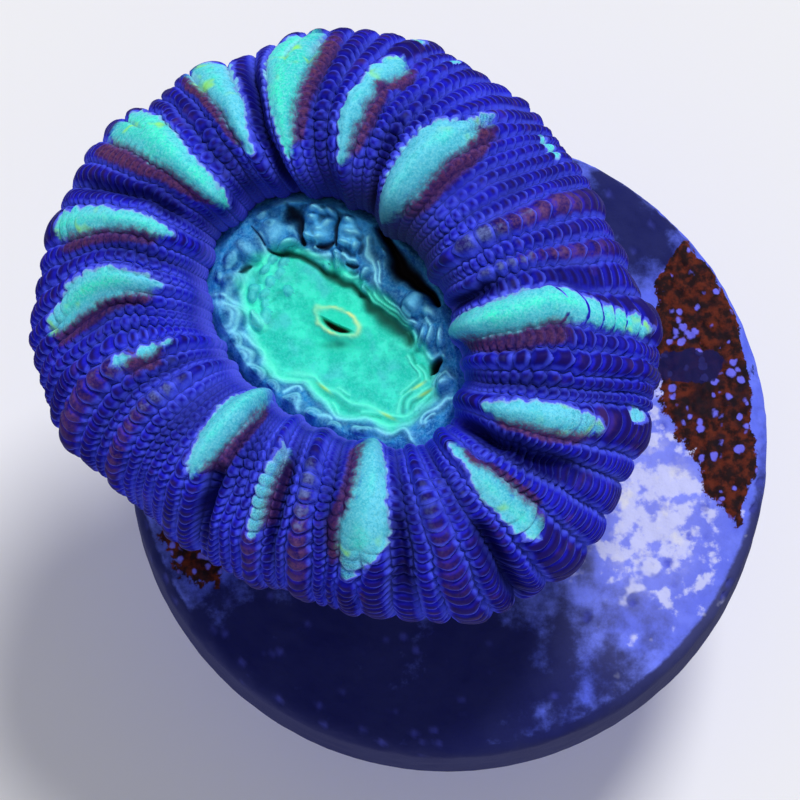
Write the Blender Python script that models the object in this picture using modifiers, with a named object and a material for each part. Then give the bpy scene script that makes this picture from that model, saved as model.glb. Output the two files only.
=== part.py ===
"""Candy cane coral on a frag plug.

One fleshy, ring-shaped coral polyp on a short stony stem. Gel glue holds the stem's cut foot
on a round ceramic plug, whose peg drops into the hole of a frag rack.

Metres, +Z up. The origin is the centre of the peg's flat foot.
"""

import math

import bpy
from mathutils import Vector

MM = 0.001
GAP = 0.3 * MM  # left between pieces that touch
MERGE_DISTANCE = 0.00001
CORAL_STEPS = 84  # facets round the coral
ROUND_STEPS = 48  # facets round the plug and the glue
SHARP_ANGLE = math.radians(35)

# Frag plug: a peg under a disc, cast as one piece
PEG_LENGTH = 12.0 * MM
PEG_FOOT_RADIUS = 4.8 * MM
PEG_ROOT_RADIUS = 5.4 * MM
PEG_CHAMFER = 0.4 * MM
PEG_FILLET = 0.5 * MM
DISC_RADIUS = 12.7 * MM
DISC_THICKNESS = 4.5 * MM
DISC_LOWER_CHAMFER = 0.4 * MM
DISC_TOP_ROUNDING = 0.8 * MM
DISC_TOP = PEG_LENGTH + DISC_THICKNESS

# Glue collar: a shallow dish that the stem's foot stands in
GLUE_FLOOR = 0.6 * MM
GLUE_HEIGHT = 1.6 * MM
GLUE_RADIUS = 7.7 * MM
GLUE_LIP = 0.7 * MM
GLUE_LIP_END = 0.3  # radians above level, where the lip's rounding turns into the slope
GLUE_EDGE = 0.25 * MM

# Stem of the coral, cut off flat at its foot
STEM_FOOT_RADIUS = 5.6 * MM
STEM_WAIST_RADIUS = 5.0 * MM
STEM_NECK_RADIUS = 5.4 * MM
STEM_FOOT_HEIGHT = 1.4 * MM  # upright stretch that stands in the glue
STEM_FOOT = DISC_TOP + GAP + GLUE_FLOOR + GAP
BEND_LENGTH = 5.0 * MM  # the lower part of the stem, where the lean builds up
LEAN = math.radians(10)
LEAN_HEADING = math.radians(200)

# Polyp, measured from the middle of its widest section
HEAD_CENTRE = Vector((-3.82 * MM, 2.23 * MM, 26.5 * MM))
MOUTH_RADIUS = 0.35 * MM
LIP_INNER_RADIUS = 0.65 * MM
LIP_OUTER_RADIUS = 1.05 * MM
LIP_FOOT_RADIUS = 1.7 * MM
FRINGE_RADIUS = 3.85 * MM
FRINGE_HALF_WIDTH = 0.75 * MM
RIM_RADIUS = 4.5 * MM
CREST_RADIUS = 7.4 * MM
EQUATOR_RADIUS = 11.5 * MM
MOUTH_BOTTOM = 0.3 * MM
LIP_HEIGHT = 1.0 * MM
ORAL_DISC_HEIGHT = 0.8 * MM
FRINGE_FOOT_HEIGHT = 1.0 * MM
FRINGE_HEIGHT = 0.9 * MM  # above its foot
RIM_HEIGHT = 1.9 * MM
CREST_HEIGHT = 4.6 * MM
RIM_UNDERCUT = math.radians(25)
UNDERSIDE_DEPTH = 3.2 * MM
NECK_DEPTH = 4.4 * MM

# The polyp is longer than it is wide, and slightly three-sided
RIM_STRETCH = 0.205
EQUATOR_STRETCH = 0.072
RIM_LONG_AXIS = math.radians(135)
EQUATOR_LONG_AXIS = math.radians(147)
THREE_SIDEDNESS = 0.033
THREE_SIDED_HEADING = math.radians(69)
ORAL_SHIFT = Vector((-0.2 * MM, 0.0, 0.0))

# The large ribs that cross the mantle, as headings round the mouth in degrees
RIB_HEADINGS = [
    12, 23, 54, 80, 100, 114, 133, 154, 169, 193, 207, 229, 251, 264, 281, 297, 312, 332, 345, 359
]
RIB_HALF_WIDTH = 5.0
RIB_SWELL = 0.055  # of the mantle's section
RIB_START = 0.25  # of the way from the rim to the equator, where ribs reach full height


def clear_scene():
    for old in list(bpy.data.objects):
        bpy.data.objects.remove(old, do_unlink=True)


def new_collection(name):
    collection = bpy.data.collections.new(name)
    bpy.context.scene.collection.children.link(collection)
    return collection


def material(name, colour, roughness, metallic=0.0):
    made = bpy.data.materials.new(name)
    made.use_nodes = True
    shader = made.node_tree.nodes["Principled BSDF"]
    shader.inputs["Base Color"].default_value = (*colour, 1.0)
    shader.inputs["Roughness"].default_value = roughness
    shader.inputs["Metallic"].default_value = metallic
    made.diffuse_color = (*colour, 1.0)
    return made


def arc(centre_radius, centre_height, half_width, half_height, start, end, count):
    """Points (radius, height) on an ellipse between two angles, both ends included."""
    points = []
    for index in range(count):
        angle = start + (end - start) * index / (count - 1)
        radius = centre_radius + half_width * math.cos(angle)
        height = centre_height + half_height * math.sin(angle)
        points.append((radius, height))
    return points


def turned(name, profile, steps, collection, finish):
    """A solid of revolution about Z from a profile that runs from its top to its bottom."""
    mesh = bpy.data.meshes.new(name)
    vertices = [(radius, 0.0, height) for radius, height in profile]
    edges = [(index, index + 1) for index in range(len(profile) - 1)]
    mesh.from_pydata(vertices, edges, [])
    mesh.materials.append(finish)
    solid = bpy.data.objects.new(name, mesh)
    collection.objects.link(solid)
    screw = solid.modifiers.new("Turn", "SCREW")
    screw.axis = "Z"
    screw.steps = steps
    screw.render_steps = steps
    screw.use_merge_vertices = True
    screw.merge_threshold = MERGE_DISTANCE
    return solid


def applied(solid):
    """The same object with its modifiers applied to its mesh."""
    graph = bpy.context.evaluated_depsgraph_get()
    mesh = bpy.data.meshes.new_from_object(solid.evaluated_get(graph))
    solid.modifiers.clear()
    solid.data = mesh
    return solid


def shade(solid):
    solid.data.shade_smooth()
    solid.data.set_sharp_from_angle(angle=SHARP_ANGLE)


def smooth_step(value):
    value = min(max(value, 0.0), 1.0)
    return value * value * (3.0 - 2.0 * value)


def mix(start, end, share):
    return start + (end - start) * share


def plug_profile():
    """From the middle of the disc's top, round its edge and down the tapered peg."""
    quarter = math.pi / 2
    points = [(0.0, DISC_TOP)]
    rounding_centre = DISC_RADIUS - DISC_TOP_ROUNDING
    rounding_height = DISC_TOP - DISC_TOP_ROUNDING
    points += arc(
        rounding_centre, rounding_height, DISC_TOP_ROUNDING, DISC_TOP_ROUNDING, quarter, 0.0, 5
    )
    points.append((DISC_RADIUS, PEG_LENGTH + DISC_LOWER_CHAMFER))
    points.append((DISC_RADIUS - DISC_LOWER_CHAMFER, PEG_LENGTH))
    fillet_centre = PEG_ROOT_RADIUS + PEG_FILLET
    fillet_height = PEG_LENGTH - PEG_FILLET
    points += arc(
        fillet_centre, fillet_height, PEG_FILLET, PEG_FILLET, quarter, 2 * quarter, 4
    )
    points.append((PEG_FOOT_RADIUS, PEG_CHAMFER))
    points.append((PEG_FOOT_RADIUS - PEG_CHAMFER, 0.0))
    points.append((0.0, 0.0))
    return points


def glue_profile():
    """From the middle of the dish's floor, over its lip and under to the middle again."""
    recess_radius = STEM_FOOT_RADIUS + GAP
    lip_centre = recess_radius + GLUE_LIP / 2
    lip_height = GLUE_HEIGHT - GLUE_LIP / 2
    points = [(0.0, GLUE_FLOOR), (recess_radius, GLUE_FLOOR)]
    points += arc(lip_centre, lip_height, GLUE_LIP / 2, GLUE_LIP / 2, math.pi, GLUE_LIP_END, 5)
    points.append((GLUE_RADIUS - GLUE_EDGE, 2 * GLUE_EDGE))
    points.append((GLUE_RADIUS, GLUE_EDGE))
    points.append((GLUE_RADIUS - GLUE_EDGE, 0.0))
    points.append((0.0, 0.0))
    return points


def coral_profile(foot):
    """From the mouth, over the fringe and the mantle, and down the stem to its flat foot."""
    points = [
        (0.0, MOUTH_BOTTOM),
        (MOUTH_RADIUS, MOUTH_BOTTOM),
        (LIP_INNER_RADIUS, LIP_HEIGHT),
        (LIP_OUTER_RADIUS, LIP_HEIGHT),
        (LIP_FOOT_RADIUS, ORAL_DISC_HEIGHT),
    ]
    points += arc(
        FRINGE_RADIUS, FRINGE_FOOT_HEIGHT, FRINGE_HALF_WIDTH, FRINGE_HEIGHT, math.pi, 0.0, 6
    )
    rim_width = CREST_RADIUS - RIM_RADIUS
    rim_rise = CREST_HEIGHT - RIM_HEIGHT
    points += arc(
        CREST_RADIUS, RIM_HEIGHT, rim_width, rim_rise, math.pi + RIM_UNDERCUT, math.pi / 2, 8
    )
    mantle_width = EQUATOR_RADIUS - CREST_RADIUS
    points += arc(CREST_RADIUS, 0.0, mantle_width, CREST_HEIGHT, math.pi / 2, 0.0, 9)[1:]
    points += arc(CREST_RADIUS, 0.0, mantle_width, UNDERSIDE_DEPTH, 0.0, -math.pi / 2, 7)[1:]
    points.append(((CREST_RADIUS + STEM_NECK_RADIUS) / 2, (-UNDERSIDE_DEPTH - NECK_DEPTH) / 2))
    points.append((STEM_NECK_RADIUS, -NECK_DEPTH))
    points.append((STEM_WAIST_RADIUS, (foot - NECK_DEPTH) / 2))
    points.append((STEM_FOOT_RADIUS, foot + STEM_FOOT_HEIGHT))
    points.append((STEM_FOOT_RADIUS, foot))
    points.append((0.0, foot))
    return points


def rib_height(heading):
    """From 0 in the grooves to 1 on the middle of a large rib."""
    height = 0.0
    for rib in RIB_HEADINGS:
        away = (math.degrees(heading) - rib + 180.0) % 360.0 - 180.0
        height = max(height, math.exp(-((away / RIB_HALF_WIDTH) ** 2)))
    return height


def shaped(point):
    """Moves a point of the turned polyp to the real outline: stretched, lobed and ribbed."""
    radius = math.hypot(point.x, point.y)
    heading = math.atan2(point.y, point.x)
    fleshiness = smooth_step((point.z + NECK_DEPTH) / NECK_DEPTH)
    outwards = min(max((radius - RIM_RADIUS) / (EQUATOR_RADIUS - RIM_RADIUS), 0.0), 1.0)

    ribbing = (rib_height(heading) - 0.5) * fleshiness * smooth_step(outwards / RIB_START)
    swell = 1.0 + RIB_SWELL * ribbing
    height = point.z * swell
    radius = CREST_RADIUS + (radius - CREST_RADIUS) * swell
    lobe = math.cos(3 * (heading - THREE_SIDED_HEADING))
    radius *= 1.0 + THREE_SIDEDNESS * lobe * fleshiness

    stretch = mix(RIM_STRETCH, EQUATOR_STRETCH, outwards) * fleshiness
    axis = mix(RIM_LONG_AXIS, EQUATOR_LONG_AXIS, outwards)
    along = radius * math.cos(heading - axis) * (1.0 + stretch)
    across = radius * math.sin(heading - axis) * (1.0 - stretch)
    x = along * math.cos(axis) - across * math.sin(axis)
    y = along * math.sin(axis) + across * math.cos(axis)
    return Vector((x, y, height)) + ORAL_SHIFT * (1.0 - outwards) * fleshiness


def leaned(point, foot):
    """Bends the stem over BEND_LENGTH above its foot, and carries the rest along."""
    above = point.z - foot
    bent = min(max(above / BEND_LENGTH, 0.0), 1.0)
    turn = LEAN * bent
    bend_radius = BEND_LENGTH / LEAN
    spine_out = bend_radius * (1.0 - math.cos(turn))
    spine_up = bend_radius * math.sin(turn)
    straight = above - BEND_LENGTH * bent
    towards = Vector((math.cos(LEAN_HEADING), math.sin(LEAN_HEADING), 0.0))
    sideways = Vector((-towards.y, towards.x, 0.0))
    out = point.dot(towards)
    across = point.dot(sideways)
    reach = spine_out + straight * math.sin(turn) + out * math.cos(turn)
    rise = spine_up + straight * math.cos(turn) - out * math.sin(turn)
    return towards * reach + sideways * across + Vector((0.0, 0.0, rise))


def stem_length():
    """Spine length from the foot to the middle of the head that ends at HEAD_CENTRE's height."""
    bend_rise = BEND_LENGTH / LEAN * math.sin(LEAN)
    straight = (HEAD_CENTRE.z - STEM_FOOT - bend_rise) / math.cos(LEAN)
    return BEND_LENGTH + straight


def stem_base():
    """Where the stem's axis meets its foot, so that the leaning head comes to HEAD_CENTRE."""
    top = leaned(Vector((0.0, 0.0, 0.0)), -stem_length())
    return Vector((HEAD_CENTRE.x - top.x, HEAD_CENTRE.y - top.y, STEM_FOOT))


def make_coral(collection):
    flesh = material("flesh", (0.035, 0.03, 0.55), 0.35)
    foot = -stem_length()
    coral = applied(turned("coral", coral_profile(foot), CORAL_STEPS, collection, flesh))
    for vertex in coral.data.vertices:
        vertex.co = leaned(shaped(vertex.co), foot)
    coral.location = stem_base()
    shade(coral)
    return coral


def make_glue(collection):
    clear_gel = material("glue", (0.62, 0.6, 0.7), 0.3)
    glue = turned("glue_collar", glue_profile(), ROUND_STEPS, collection, clear_gel)
    base = stem_base()
    glue.location = (base.x, base.y, DISC_TOP + GAP)
    shade(glue)
    return glue


def make_plug(collection):
    ceramic = material("ceramic", (0.42, 0.42, 0.82), 0.75)
    plug = turned("frag_plug", plug_profile(), ROUND_STEPS, collection, ceramic)
    shade(plug)
    return plug


def main():
    clear_scene()
    collection = new_collection("candy_cane_coral")
    make_plug(collection)
    make_glue(collection)
    make_coral(collection)


main()
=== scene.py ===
from dataclasses import dataclass, field
from itertools import product
from math import cos, pi, radians, sin
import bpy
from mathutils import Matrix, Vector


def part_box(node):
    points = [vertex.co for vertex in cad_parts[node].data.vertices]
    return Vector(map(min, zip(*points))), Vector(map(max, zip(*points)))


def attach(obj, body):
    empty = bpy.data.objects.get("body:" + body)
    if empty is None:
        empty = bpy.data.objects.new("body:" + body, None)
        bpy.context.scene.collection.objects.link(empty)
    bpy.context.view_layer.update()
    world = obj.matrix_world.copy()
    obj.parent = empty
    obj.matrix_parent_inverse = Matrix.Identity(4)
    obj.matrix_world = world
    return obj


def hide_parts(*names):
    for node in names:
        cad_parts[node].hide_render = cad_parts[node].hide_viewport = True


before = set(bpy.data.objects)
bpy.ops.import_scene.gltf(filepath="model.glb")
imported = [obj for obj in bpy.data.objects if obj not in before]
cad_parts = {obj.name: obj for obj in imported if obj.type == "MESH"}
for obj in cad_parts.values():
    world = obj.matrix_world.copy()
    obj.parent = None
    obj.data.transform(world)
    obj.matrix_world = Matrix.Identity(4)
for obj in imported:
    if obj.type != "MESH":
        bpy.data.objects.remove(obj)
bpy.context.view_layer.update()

from types import SimpleNamespace

import bpy
import numpy as np
from mathutils import Vector

MM = 0.001
SEED = 7
UP = np.array([0.0, 0.0, 1.0])

# ---------------------------------------------------------------------------
# Where things are: read from the frame, with the coral's own proportions
# ---------------------------------------------------------------------------
PLUG_LOW, PLUG_HIGH = (np.array(corner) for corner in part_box("frag_plug"))
GLUE_LOW, GLUE_HIGH = (np.array(corner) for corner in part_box("glue_collar"))
CORAL_LOW = np.array(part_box("coral")[0])
PLUG_TOP = PLUG_HIGH[2]
PLUG_RADIUS = (PLUG_HIGH[0] - PLUG_LOW[0]) / 2
STEM_BASE = np.array([*(GLUE_LOW + GLUE_HIGH)[:2] / 2, CORAL_LOW[2]])
GLUE_RADIUS = (GLUE_HIGH[0] - GLUE_LOW[0]) / 2

HEAD_RISE = 10.0 * MM  # from the plug's top to the middle of the polyp's widest section
LEAN = radians(10)
LEAN_HEADING = radians(200)
BEND_LENGTH = 5.0 * MM

RIM_RADIUS = 4.5 * MM
CREST_RADIUS = 7.4 * MM
EQUATOR_RADIUS = 11.5 * MM
MEAN_WIDTH = EQUATOR_RADIUS - RIM_RADIUS
CREST_SHARE = (CREST_RADIUS - RIM_RADIUS) / MEAN_WIDTH
RIM_HEIGHT = 1.9 * MM
CREST_HEIGHT = 4.6 * MM
UNDERSIDE_DEPTH = 3.2 * MM
NECK_DEPTH = 4.4 * MM
NECK_RADIUS = 5.4 * MM
NECK_RUN = 2.2 * MM  # along the skin
RIM_UNDERCUT = radians(28)
SEAM_ANGLE = radians(20)  # below the equator, where the finer upper mesh meets the lower one

RIM_STRETCH = 0.205
EQUATOR_STRETCH = 0.072
RIM_LONG_AXIS = radians(135)
EQUATOR_LONG_AXIS = radians(147)
THREE_SIDEDNESS = 0.033
THREE_SIDED_HEADING = radians(69)
ORAL_CENTRE = np.array([-0.2 * MM, 0.0])


def smooth(value, low=0.0, high=1.0):
    """0 below low, 1 above high, and an S curve between; works on arrays."""
    share = np.clip((np.asarray(value, float) - low) / (high - low), 0.0, 1.0)
    return share * share * (3.0 - 2.0 * share)


def bump(away, half_width):
    """1 in the middle, falling smoothly towards 0 past the half width."""
    return np.exp(-((away / half_width) ** 2))


def dome(away):
    """Height of a round knob: 1 in the middle, 0 from a distance of 1."""
    return np.sqrt(np.clip(1.0 - away**2, 0.0, 1.0))


def wrapped(angle):
    """An angle in degrees brought into -180 to 180."""
    return (np.asarray(angle) + 180.0) % 360.0 - 180.0


def near(heading, middle, half_width):
    """1 at a heading in degrees, falling smoothly on both sides of it."""
    return bump(wrapped(heading - middle), half_width)


def around(angle):
    """Level unit vectors at angles in radians."""
    return np.stack([np.cos(angle), np.sin(angle), 0 * angle], -1)


def turned(x, y, angle):
    """Coordinates along and across a direction."""
    return x * cos(angle) + y * sin(angle), y * cos(angle) - x * sin(angle)


def hashed(place, seed):
    """A number from -1 to 1 for each whole-numbered place, the same every run."""
    mixed = place[..., 0] * 73856093 ^ place[..., 1] * 19349663 ^ place[..., 2] * 83492791
    mixed = (mixed ^ (seed * 668265263)) & 0xFFFFFFFF
    mixed = ((mixed ^ (mixed >> 15)) * 2246822519) & 0xFFFFFFFF
    mixed = ((mixed ^ (mixed >> 13)) * 3266489917) & 0xFFFFFFFF
    return ((mixed ^ (mixed >> 16)) & 0xFFFF) / 32767.5 - 1.0


def lattice_noise(points, cell, seed):
    """Smooth noise from -1 to 1 with features about one cell wide."""
    scaled = points / cell
    base = np.floor(scaled).astype(np.int64)
    share = scaled - base
    share = share * share * (3.0 - 2.0 * share)
    total = np.zeros(points.shape[:-1])
    for corner in product((0, 1), repeat=3):
        weights = np.where(np.array(corner), share, 1.0 - share)
        total += hashed(base + np.array(corner), seed) * weights.prod(-1)
    return total


def layered_noise(points, cell, seed, layers=3):
    """Noise with finer and weaker layers laid over it."""
    total = np.zeros(points.shape[:-1])
    for layer in range(layers):
        total += lattice_noise(points, cell / 2**layer, seed + layer) / 2**layer
    return total


def cell_knobs(points, cell, seed):
    """Packed knobs: distance to the nearest knob's middle in cells, and a number for each knob."""
    scaled = points / cell
    base = np.floor(scaled).astype(np.int64)
    nearest = np.full(points.shape[:-1], 9.0)
    number = np.zeros(points.shape[:-1])
    for corner in product((-1, 0, 1), repeat=3):
        place = base + np.array(corner)
        spot = np.stack([hashed(place, seed + axis) for axis in range(3)], -1)
        distance = np.linalg.norm(place + 0.5 + 0.38 * spot - scaled, axis=-1)
        number = np.where(distance < nearest, hashed(place, seed + 3), number)
        nearest = np.minimum(nearest, distance)
    return nearest, number


def blurred(values, rings, columns):
    """Mean over a window of a grid that is closed round its columns."""
    padded = np.pad(values, ((rings + 1, rings), (0, 0)), mode="edge")
    total = np.cumsum(padded, 0)
    values = (total[2 * rings + 1 :] - total[: -2 * rings - 1]) / (2 * rings + 1)
    padded = np.pad(values, ((0, 0), (columns + 1, columns)), mode="wrap")
    total = np.cumsum(padded, 1)
    return (total[:, 2 * columns + 1 :] - total[:, : -2 * columns - 1]) / (2 * columns + 1)


# ---------------------------------------------------------------------------
# The polyp's lean, and its outlines round the mouth
# ---------------------------------------------------------------------------
TOWARDS = np.array([cos(LEAN_HEADING), sin(LEAN_HEADING), 0.0])
SIDEWAYS = np.array([-TOWARDS[1], TOWARDS[0], 0.0])
HEAD_Z = PLUG_TOP + HEAD_RISE
STEM_LENGTH = BEND_LENGTH + (HEAD_Z - STEM_BASE[2] - BEND_LENGTH / LEAN * sin(LEAN)) / cos(LEAN)


def placed(points):
    """From the polyp's upright frame, origin in the middle of its widest section, to the world.

    Its spine starts upright at the stem's foot and bends over along BEND_LENGTH."""
    above = points[..., 2] + STEM_LENGTH
    bent = np.clip(above / BEND_LENGTH, 0.0, 1.0)
    turn = LEAN * bent
    bend_radius = BEND_LENGTH / LEAN
    straight = above - BEND_LENGTH * bent
    out = points @ TOWARDS
    across = points @ SIDEWAYS
    reach = bend_radius * (1 - np.cos(turn)) + straight * np.sin(turn) + out * np.cos(turn)
    rise = bend_radius * np.sin(turn) + straight * np.cos(turn) - out * np.sin(turn)
    leaned = reach[..., None] * TOWARDS + across[..., None] * SIDEWAYS + rise[..., None] * UP
    return leaned + STEM_BASE


def ring(radius, outwards):
    """A closed ring of the polyp, in its plane, where outwards is 0 at the rim and 1 at the equator."""
    heading = np.linspace(0.0, 2 * pi, 721)
    lobed = radius * (1.0 + THREE_SIDEDNESS * np.cos(3 * (heading - THREE_SIDED_HEADING)))
    stretch = RIM_STRETCH + (EQUATOR_STRETCH - RIM_STRETCH) * outwards
    axis = RIM_LONG_AXIS + (EQUATOR_LONG_AXIS - RIM_LONG_AXIS) * outwards
    along = lobed * np.cos(heading - axis) * (1.0 + stretch)
    across = lobed * np.sin(heading - axis) * (1.0 - stretch)
    return np.stack(turned(along, across, -axis), -1) + ORAL_CENTRE * (1.0 - outwards)


def polar_radius(outline, heading_degrees):
    """Distance from the oral centre to a closed outline, at headings in degrees."""
    offset = outline[:-1] - ORAL_CENTRE
    angle = np.degrees(np.arctan2(offset[:, 1], offset[:, 0])) % 360.0
    order = np.argsort(angle)
    return np.interp(heading_degrees, angle[order], np.hypot(*offset[order].T), period=360.0)


RIM_RING = ring(RIM_RADIUS, 0.0)
EQUATOR_RING = ring(EQUATOR_RADIUS, 1.0)


# ---------------------------------------------------------------------------
# Ribs of the mantle. Headings, leans and widths are in degrees round the mouth;
# stations run from 0 at the oral rim to 1 at the widest section.
# ---------------------------------------------------------------------------
@dataclass
class Rib:
    heading: float  # at station 0.5
    inner: float  # change of heading from station 0 to 0.5
    outer: float  # change of heading from station 0.5 to 1
    width: float
    height: float  # of the ridge, in mm
    patch: list = field(default_factory=list)  # (station, sideways offset, half width)
    band: float = 0.0  # width of the maroon band; anticlockwise of the patch if positive
    tint: float = 0.5  # of the patch, from 0 blue to 1 green
    strength: float = 1.0  # of the green
    flecks: float = 0.0  # of beige and maroon tinges on the ridge
    band_end: float = 9.0  # station where the maroon band stops, if before the patch does
    fade: float = 0.0  # of the green towards its outer end
    rows: int = 1  # of beads, side by side
    gaps: float = 0.0  # between the green beads of the patch's outer end, in mm


RIBS = [
    Rib(11.8, 6, 1, 5, 0.3, flecks=0.8),
    Rib(22.8, 3, 2, 8, 0.6, flecks=1.0),
    Rib(54.5, -4, -9, 13, 1.0,
        [(0.08, 0, 3.5), (0.12, 0, 5), (0.25, 0, 6.8), (0.45, 0.3, 6.6), (0.57, 0, 5.6), (0.64, -0.6, 4),
         (0.69, -1, 2.4), (0.72, -1, 0.6), (0.76, -1, 2), (0.8, -1, 0.8)], -5.5, 0.15, fade=0.6, rows=3),
    Rib(80.5, -1.5, -8, 7, 0.6,
        [(0.2, 0.6, 0.8), (0.28, 0.2, 2), (0.45, 0, 3.4), (0.58, 0, 2.8), (0.65, -0.3, 1), (0.7, -0.8, 3),
         (0.78, -1.2, 3), (0.83, -1.2, 1)], -3.8, 0.25),
    Rib(100.5, 1, -6, 8, 0.8,
        [(0.22, 0.4, 0.8), (0.3, 0, 2), (0.45, 0, 3.4), (0.6, 0, 4.2), (0.8, -0.5, 4.6), (0.96, 0, 3.4)],
        -3.6, 0.6, rows=2),
    Rib(113.8, 0, 5.5, 6, 0.5,
        [(0.26, 0.8, 1), (0.35, 0.4, 1.8), (0.5, 0, 2.7), (0.75, 0, 3.4), (0.93, 0.5, 3.6)], 2.4, 0.3),
    Rib(133.4, 0, 2, 10, 0.9,
        [(0.08, -1, 1), (0.16, -0.8, 2.6), (0.35, -0.3, 3.8), (0.5, 0, 4.4), (0.7, -0.3, 4.8),
         (0.93, 0.4, 4)],
        4.0, 0.6, rows=2),
    Rib(154.5, 4, 7, 7, 0.6,
        [(0.22, -0.6, 1), (0.3, -0.2, 1.8), (0.5, 0.3, 2.4), (0.7, 0, 2.8), (0.86, 0.5, 2)], 3.2, 0.55),
    Rib(169.2, -3, 13, 8, 0.7,
        [(0.23, 1, 0.6), (0.28, 1.6, 1.8), (0.38, 2, 3), (0.5, 2.2, 3.8), (0.62, 2.4, 4.2), (0.74, 3, 3.6),
         (0.8, 3.4, 2.6), (0.86, 3.6, 1)], 4.0, 0.4, rows=2),
    Rib(193.5, 3, 10, 7, 0.5,
        [(0.25, -0.4, 0.3), (0.28, -0.4, 0.5), (0.3, -0.4, -0.5), (0.32, -0.5, 1.8), (0.38, -0.5, 1.8),
         (0.42, 0, -0.5), (0.46, -0.5, 1.6), (0.5, -0.5, 1.5), (0.53, 0, -0.5)], 4.5, 0.4, 0.9, 0.8),
    Rib(207.5, 6, 8, 6, 0.4, flecks=0.8),
    Rib(229.3, 0, 2, 10, 0.8,
        [(0.02, 1.5, 3), (0.06, 1.2, 4.4), (0.15, -0.2, 5.8), (0.25, -0.4, 5.8), (0.4, -0.2, 5),
         (0.52, 0.4, 3.4), (0.6, 0.6, 1.8), (0.64, 0.6, 0.6)], 4.5, 0.4, rows=2),
    Rib(251.2, 0, 0, 6, 0.5,
        [(0.25, 3, 0.8), (0.32, 2, 1.4), (0.5, 0, 2), (0.7, 0.4, 1.6), (0.76, 0.6, 0.6)],
        3.2, 0.3, 0.6, 0.6),
    Rib(264.5, -3, -3, 7, 0.4, flecks=0.9),
    Rib(281, -9, -8, 11, 0.85,
        [(0.03, 0.5, 2), (0.08, 0.6, 2.8), (0.15, 0.8, 3.8), (0.27, 1.4, 4.2), (0.42, 1, 4.2), (0.5, 0.6, 5),
         (0.57, 0.3, 5.8), (0.66, -0.4, 5.4), (0.72, -1.3, 4.4), (0.8, -2.4, 2.4), (0.85, -2.6, 1)],
        -3.6, 0.15, fade=0.5, rows=2),
    Rib(297.3, -4, -4, 6, 0.4, flecks=0.3),
    Rib(312.3, 0, 0, 7, 0.5,
        [(0.23, 0.5, 0.7), (0.28, 0.5, 1.4), (0.36, 0.2, 0.6), (0.44, 0, 2.4), (0.55, 0, 3), (0.75, 0, 2.5),
         (0.84, 0, 1)], 2.0, 0.3),
    Rib(331.6, 7.5, 8.5, 8, 0.8,
        [(0.29, -1, 0.8), (0.35, -0.8, 2), (0.5, 0, 2.8), (0.65, 0, 2.8), (0.8, -0.6, 1.6),
         (0.85, -0.8, 0.5)],
        -2.2, 0.1, 0.85, fade=0.3),
    Rib(345, 8, 4, 6, 0.5),
    Rib(358.6, 11.5, -2, 10, 0.9,
        [(0.02, 0.4, 1.8), (0.1, 0.2, 3.6), (0.18, 0, 4.6), (0.3, -0.3, 5.2), (0.5, 0.2, 4.8), (0.68, 0, 4),
         (0.8, -1, 2.4), (0.97, -2, 2)], -5.5, 0.5, band_end=0.72, gaps=0.9),
]
# Bulges and dents of the widest outline: heading, mm outwards
BULGES = [(5, 0), (20, -0.28), (50, -0.24), (65, 0), (87, 0.1), (110, -0.25), (120, 0.2), (130, -0.2),
          (145, 0.14), (165, -0.22), (178, -0.2), (190, 0.28), (200, 0.34), (215, 0), (235, -0.22),
          (250, 0), (275, -0.22), (295, 0.36), (307, 0), (320, -0.27), (340, -0.22), (350, 0.32)]
# Small green marks off the ribs: heading, station, half sizes in degrees and stations
MARKS = [(41.5, 0.965, 4.5, 0.013), (72, 0.95, 1.2, 0.02), (81.5, 0.97, 1.6, 0.02), (334, 0.97, 1.5, 0.02)]
# Clefts between folds of the mantle: heading, half width, depth in mm, first and last station
CREASES = [(322.5, 2.0, 1.3, 0.12, 0.85), (236, 1.8, 0.9, 0.55, 1.0), (107.5, 1.5, 0.5, 0.0, 0.9),
           (288.5, 1.5, 0.6, 0.5, 0.95), (305, 1.6, 0.7, 0.65, 1.05), (8, 1.6, 0.6, 0.0, 0.35),
           (147, 1.4, 0.35, 0.2, 0.9), (256.5, 1.4, 0.5, 0.3, 0.9), (67, 1.5, 0.5, 0.0, 0.5)]
# Where the beads are worn smooth: heading, station, half sizes
SMOOTH_AREAS = [(6.3, 0.78, 2.6, 0.16), (236, 0.8, 3, 0.1)]
SMALL_ROW_WIDTH = 3.9  # degrees, of the bead rows between the ribs
BEAD_PITCH = 0.42 * MM
RIM_PITCH = 0.6  # of the usual bead pitch, at the rim
RIB_PITCH = 0.13  # share by which a rib's beads lengthen, for each degree of its width
COLUMN_STEP = 0.4  # degrees
TURN_BLEND = np.arange(-6.0, 6.1, 1.5)  # degrees over which the turns of neighbouring ribs blend
TURN_EASE = 0.1  # stations over which a rib bends from its inner to its outer turn


@dataclass
class Row:
    """One chain of beads, from groove to groove."""

    low: float
    high: float
    pitch: float
    phase: float

    @property
    def width(self):
        return self.high - self.low


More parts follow.
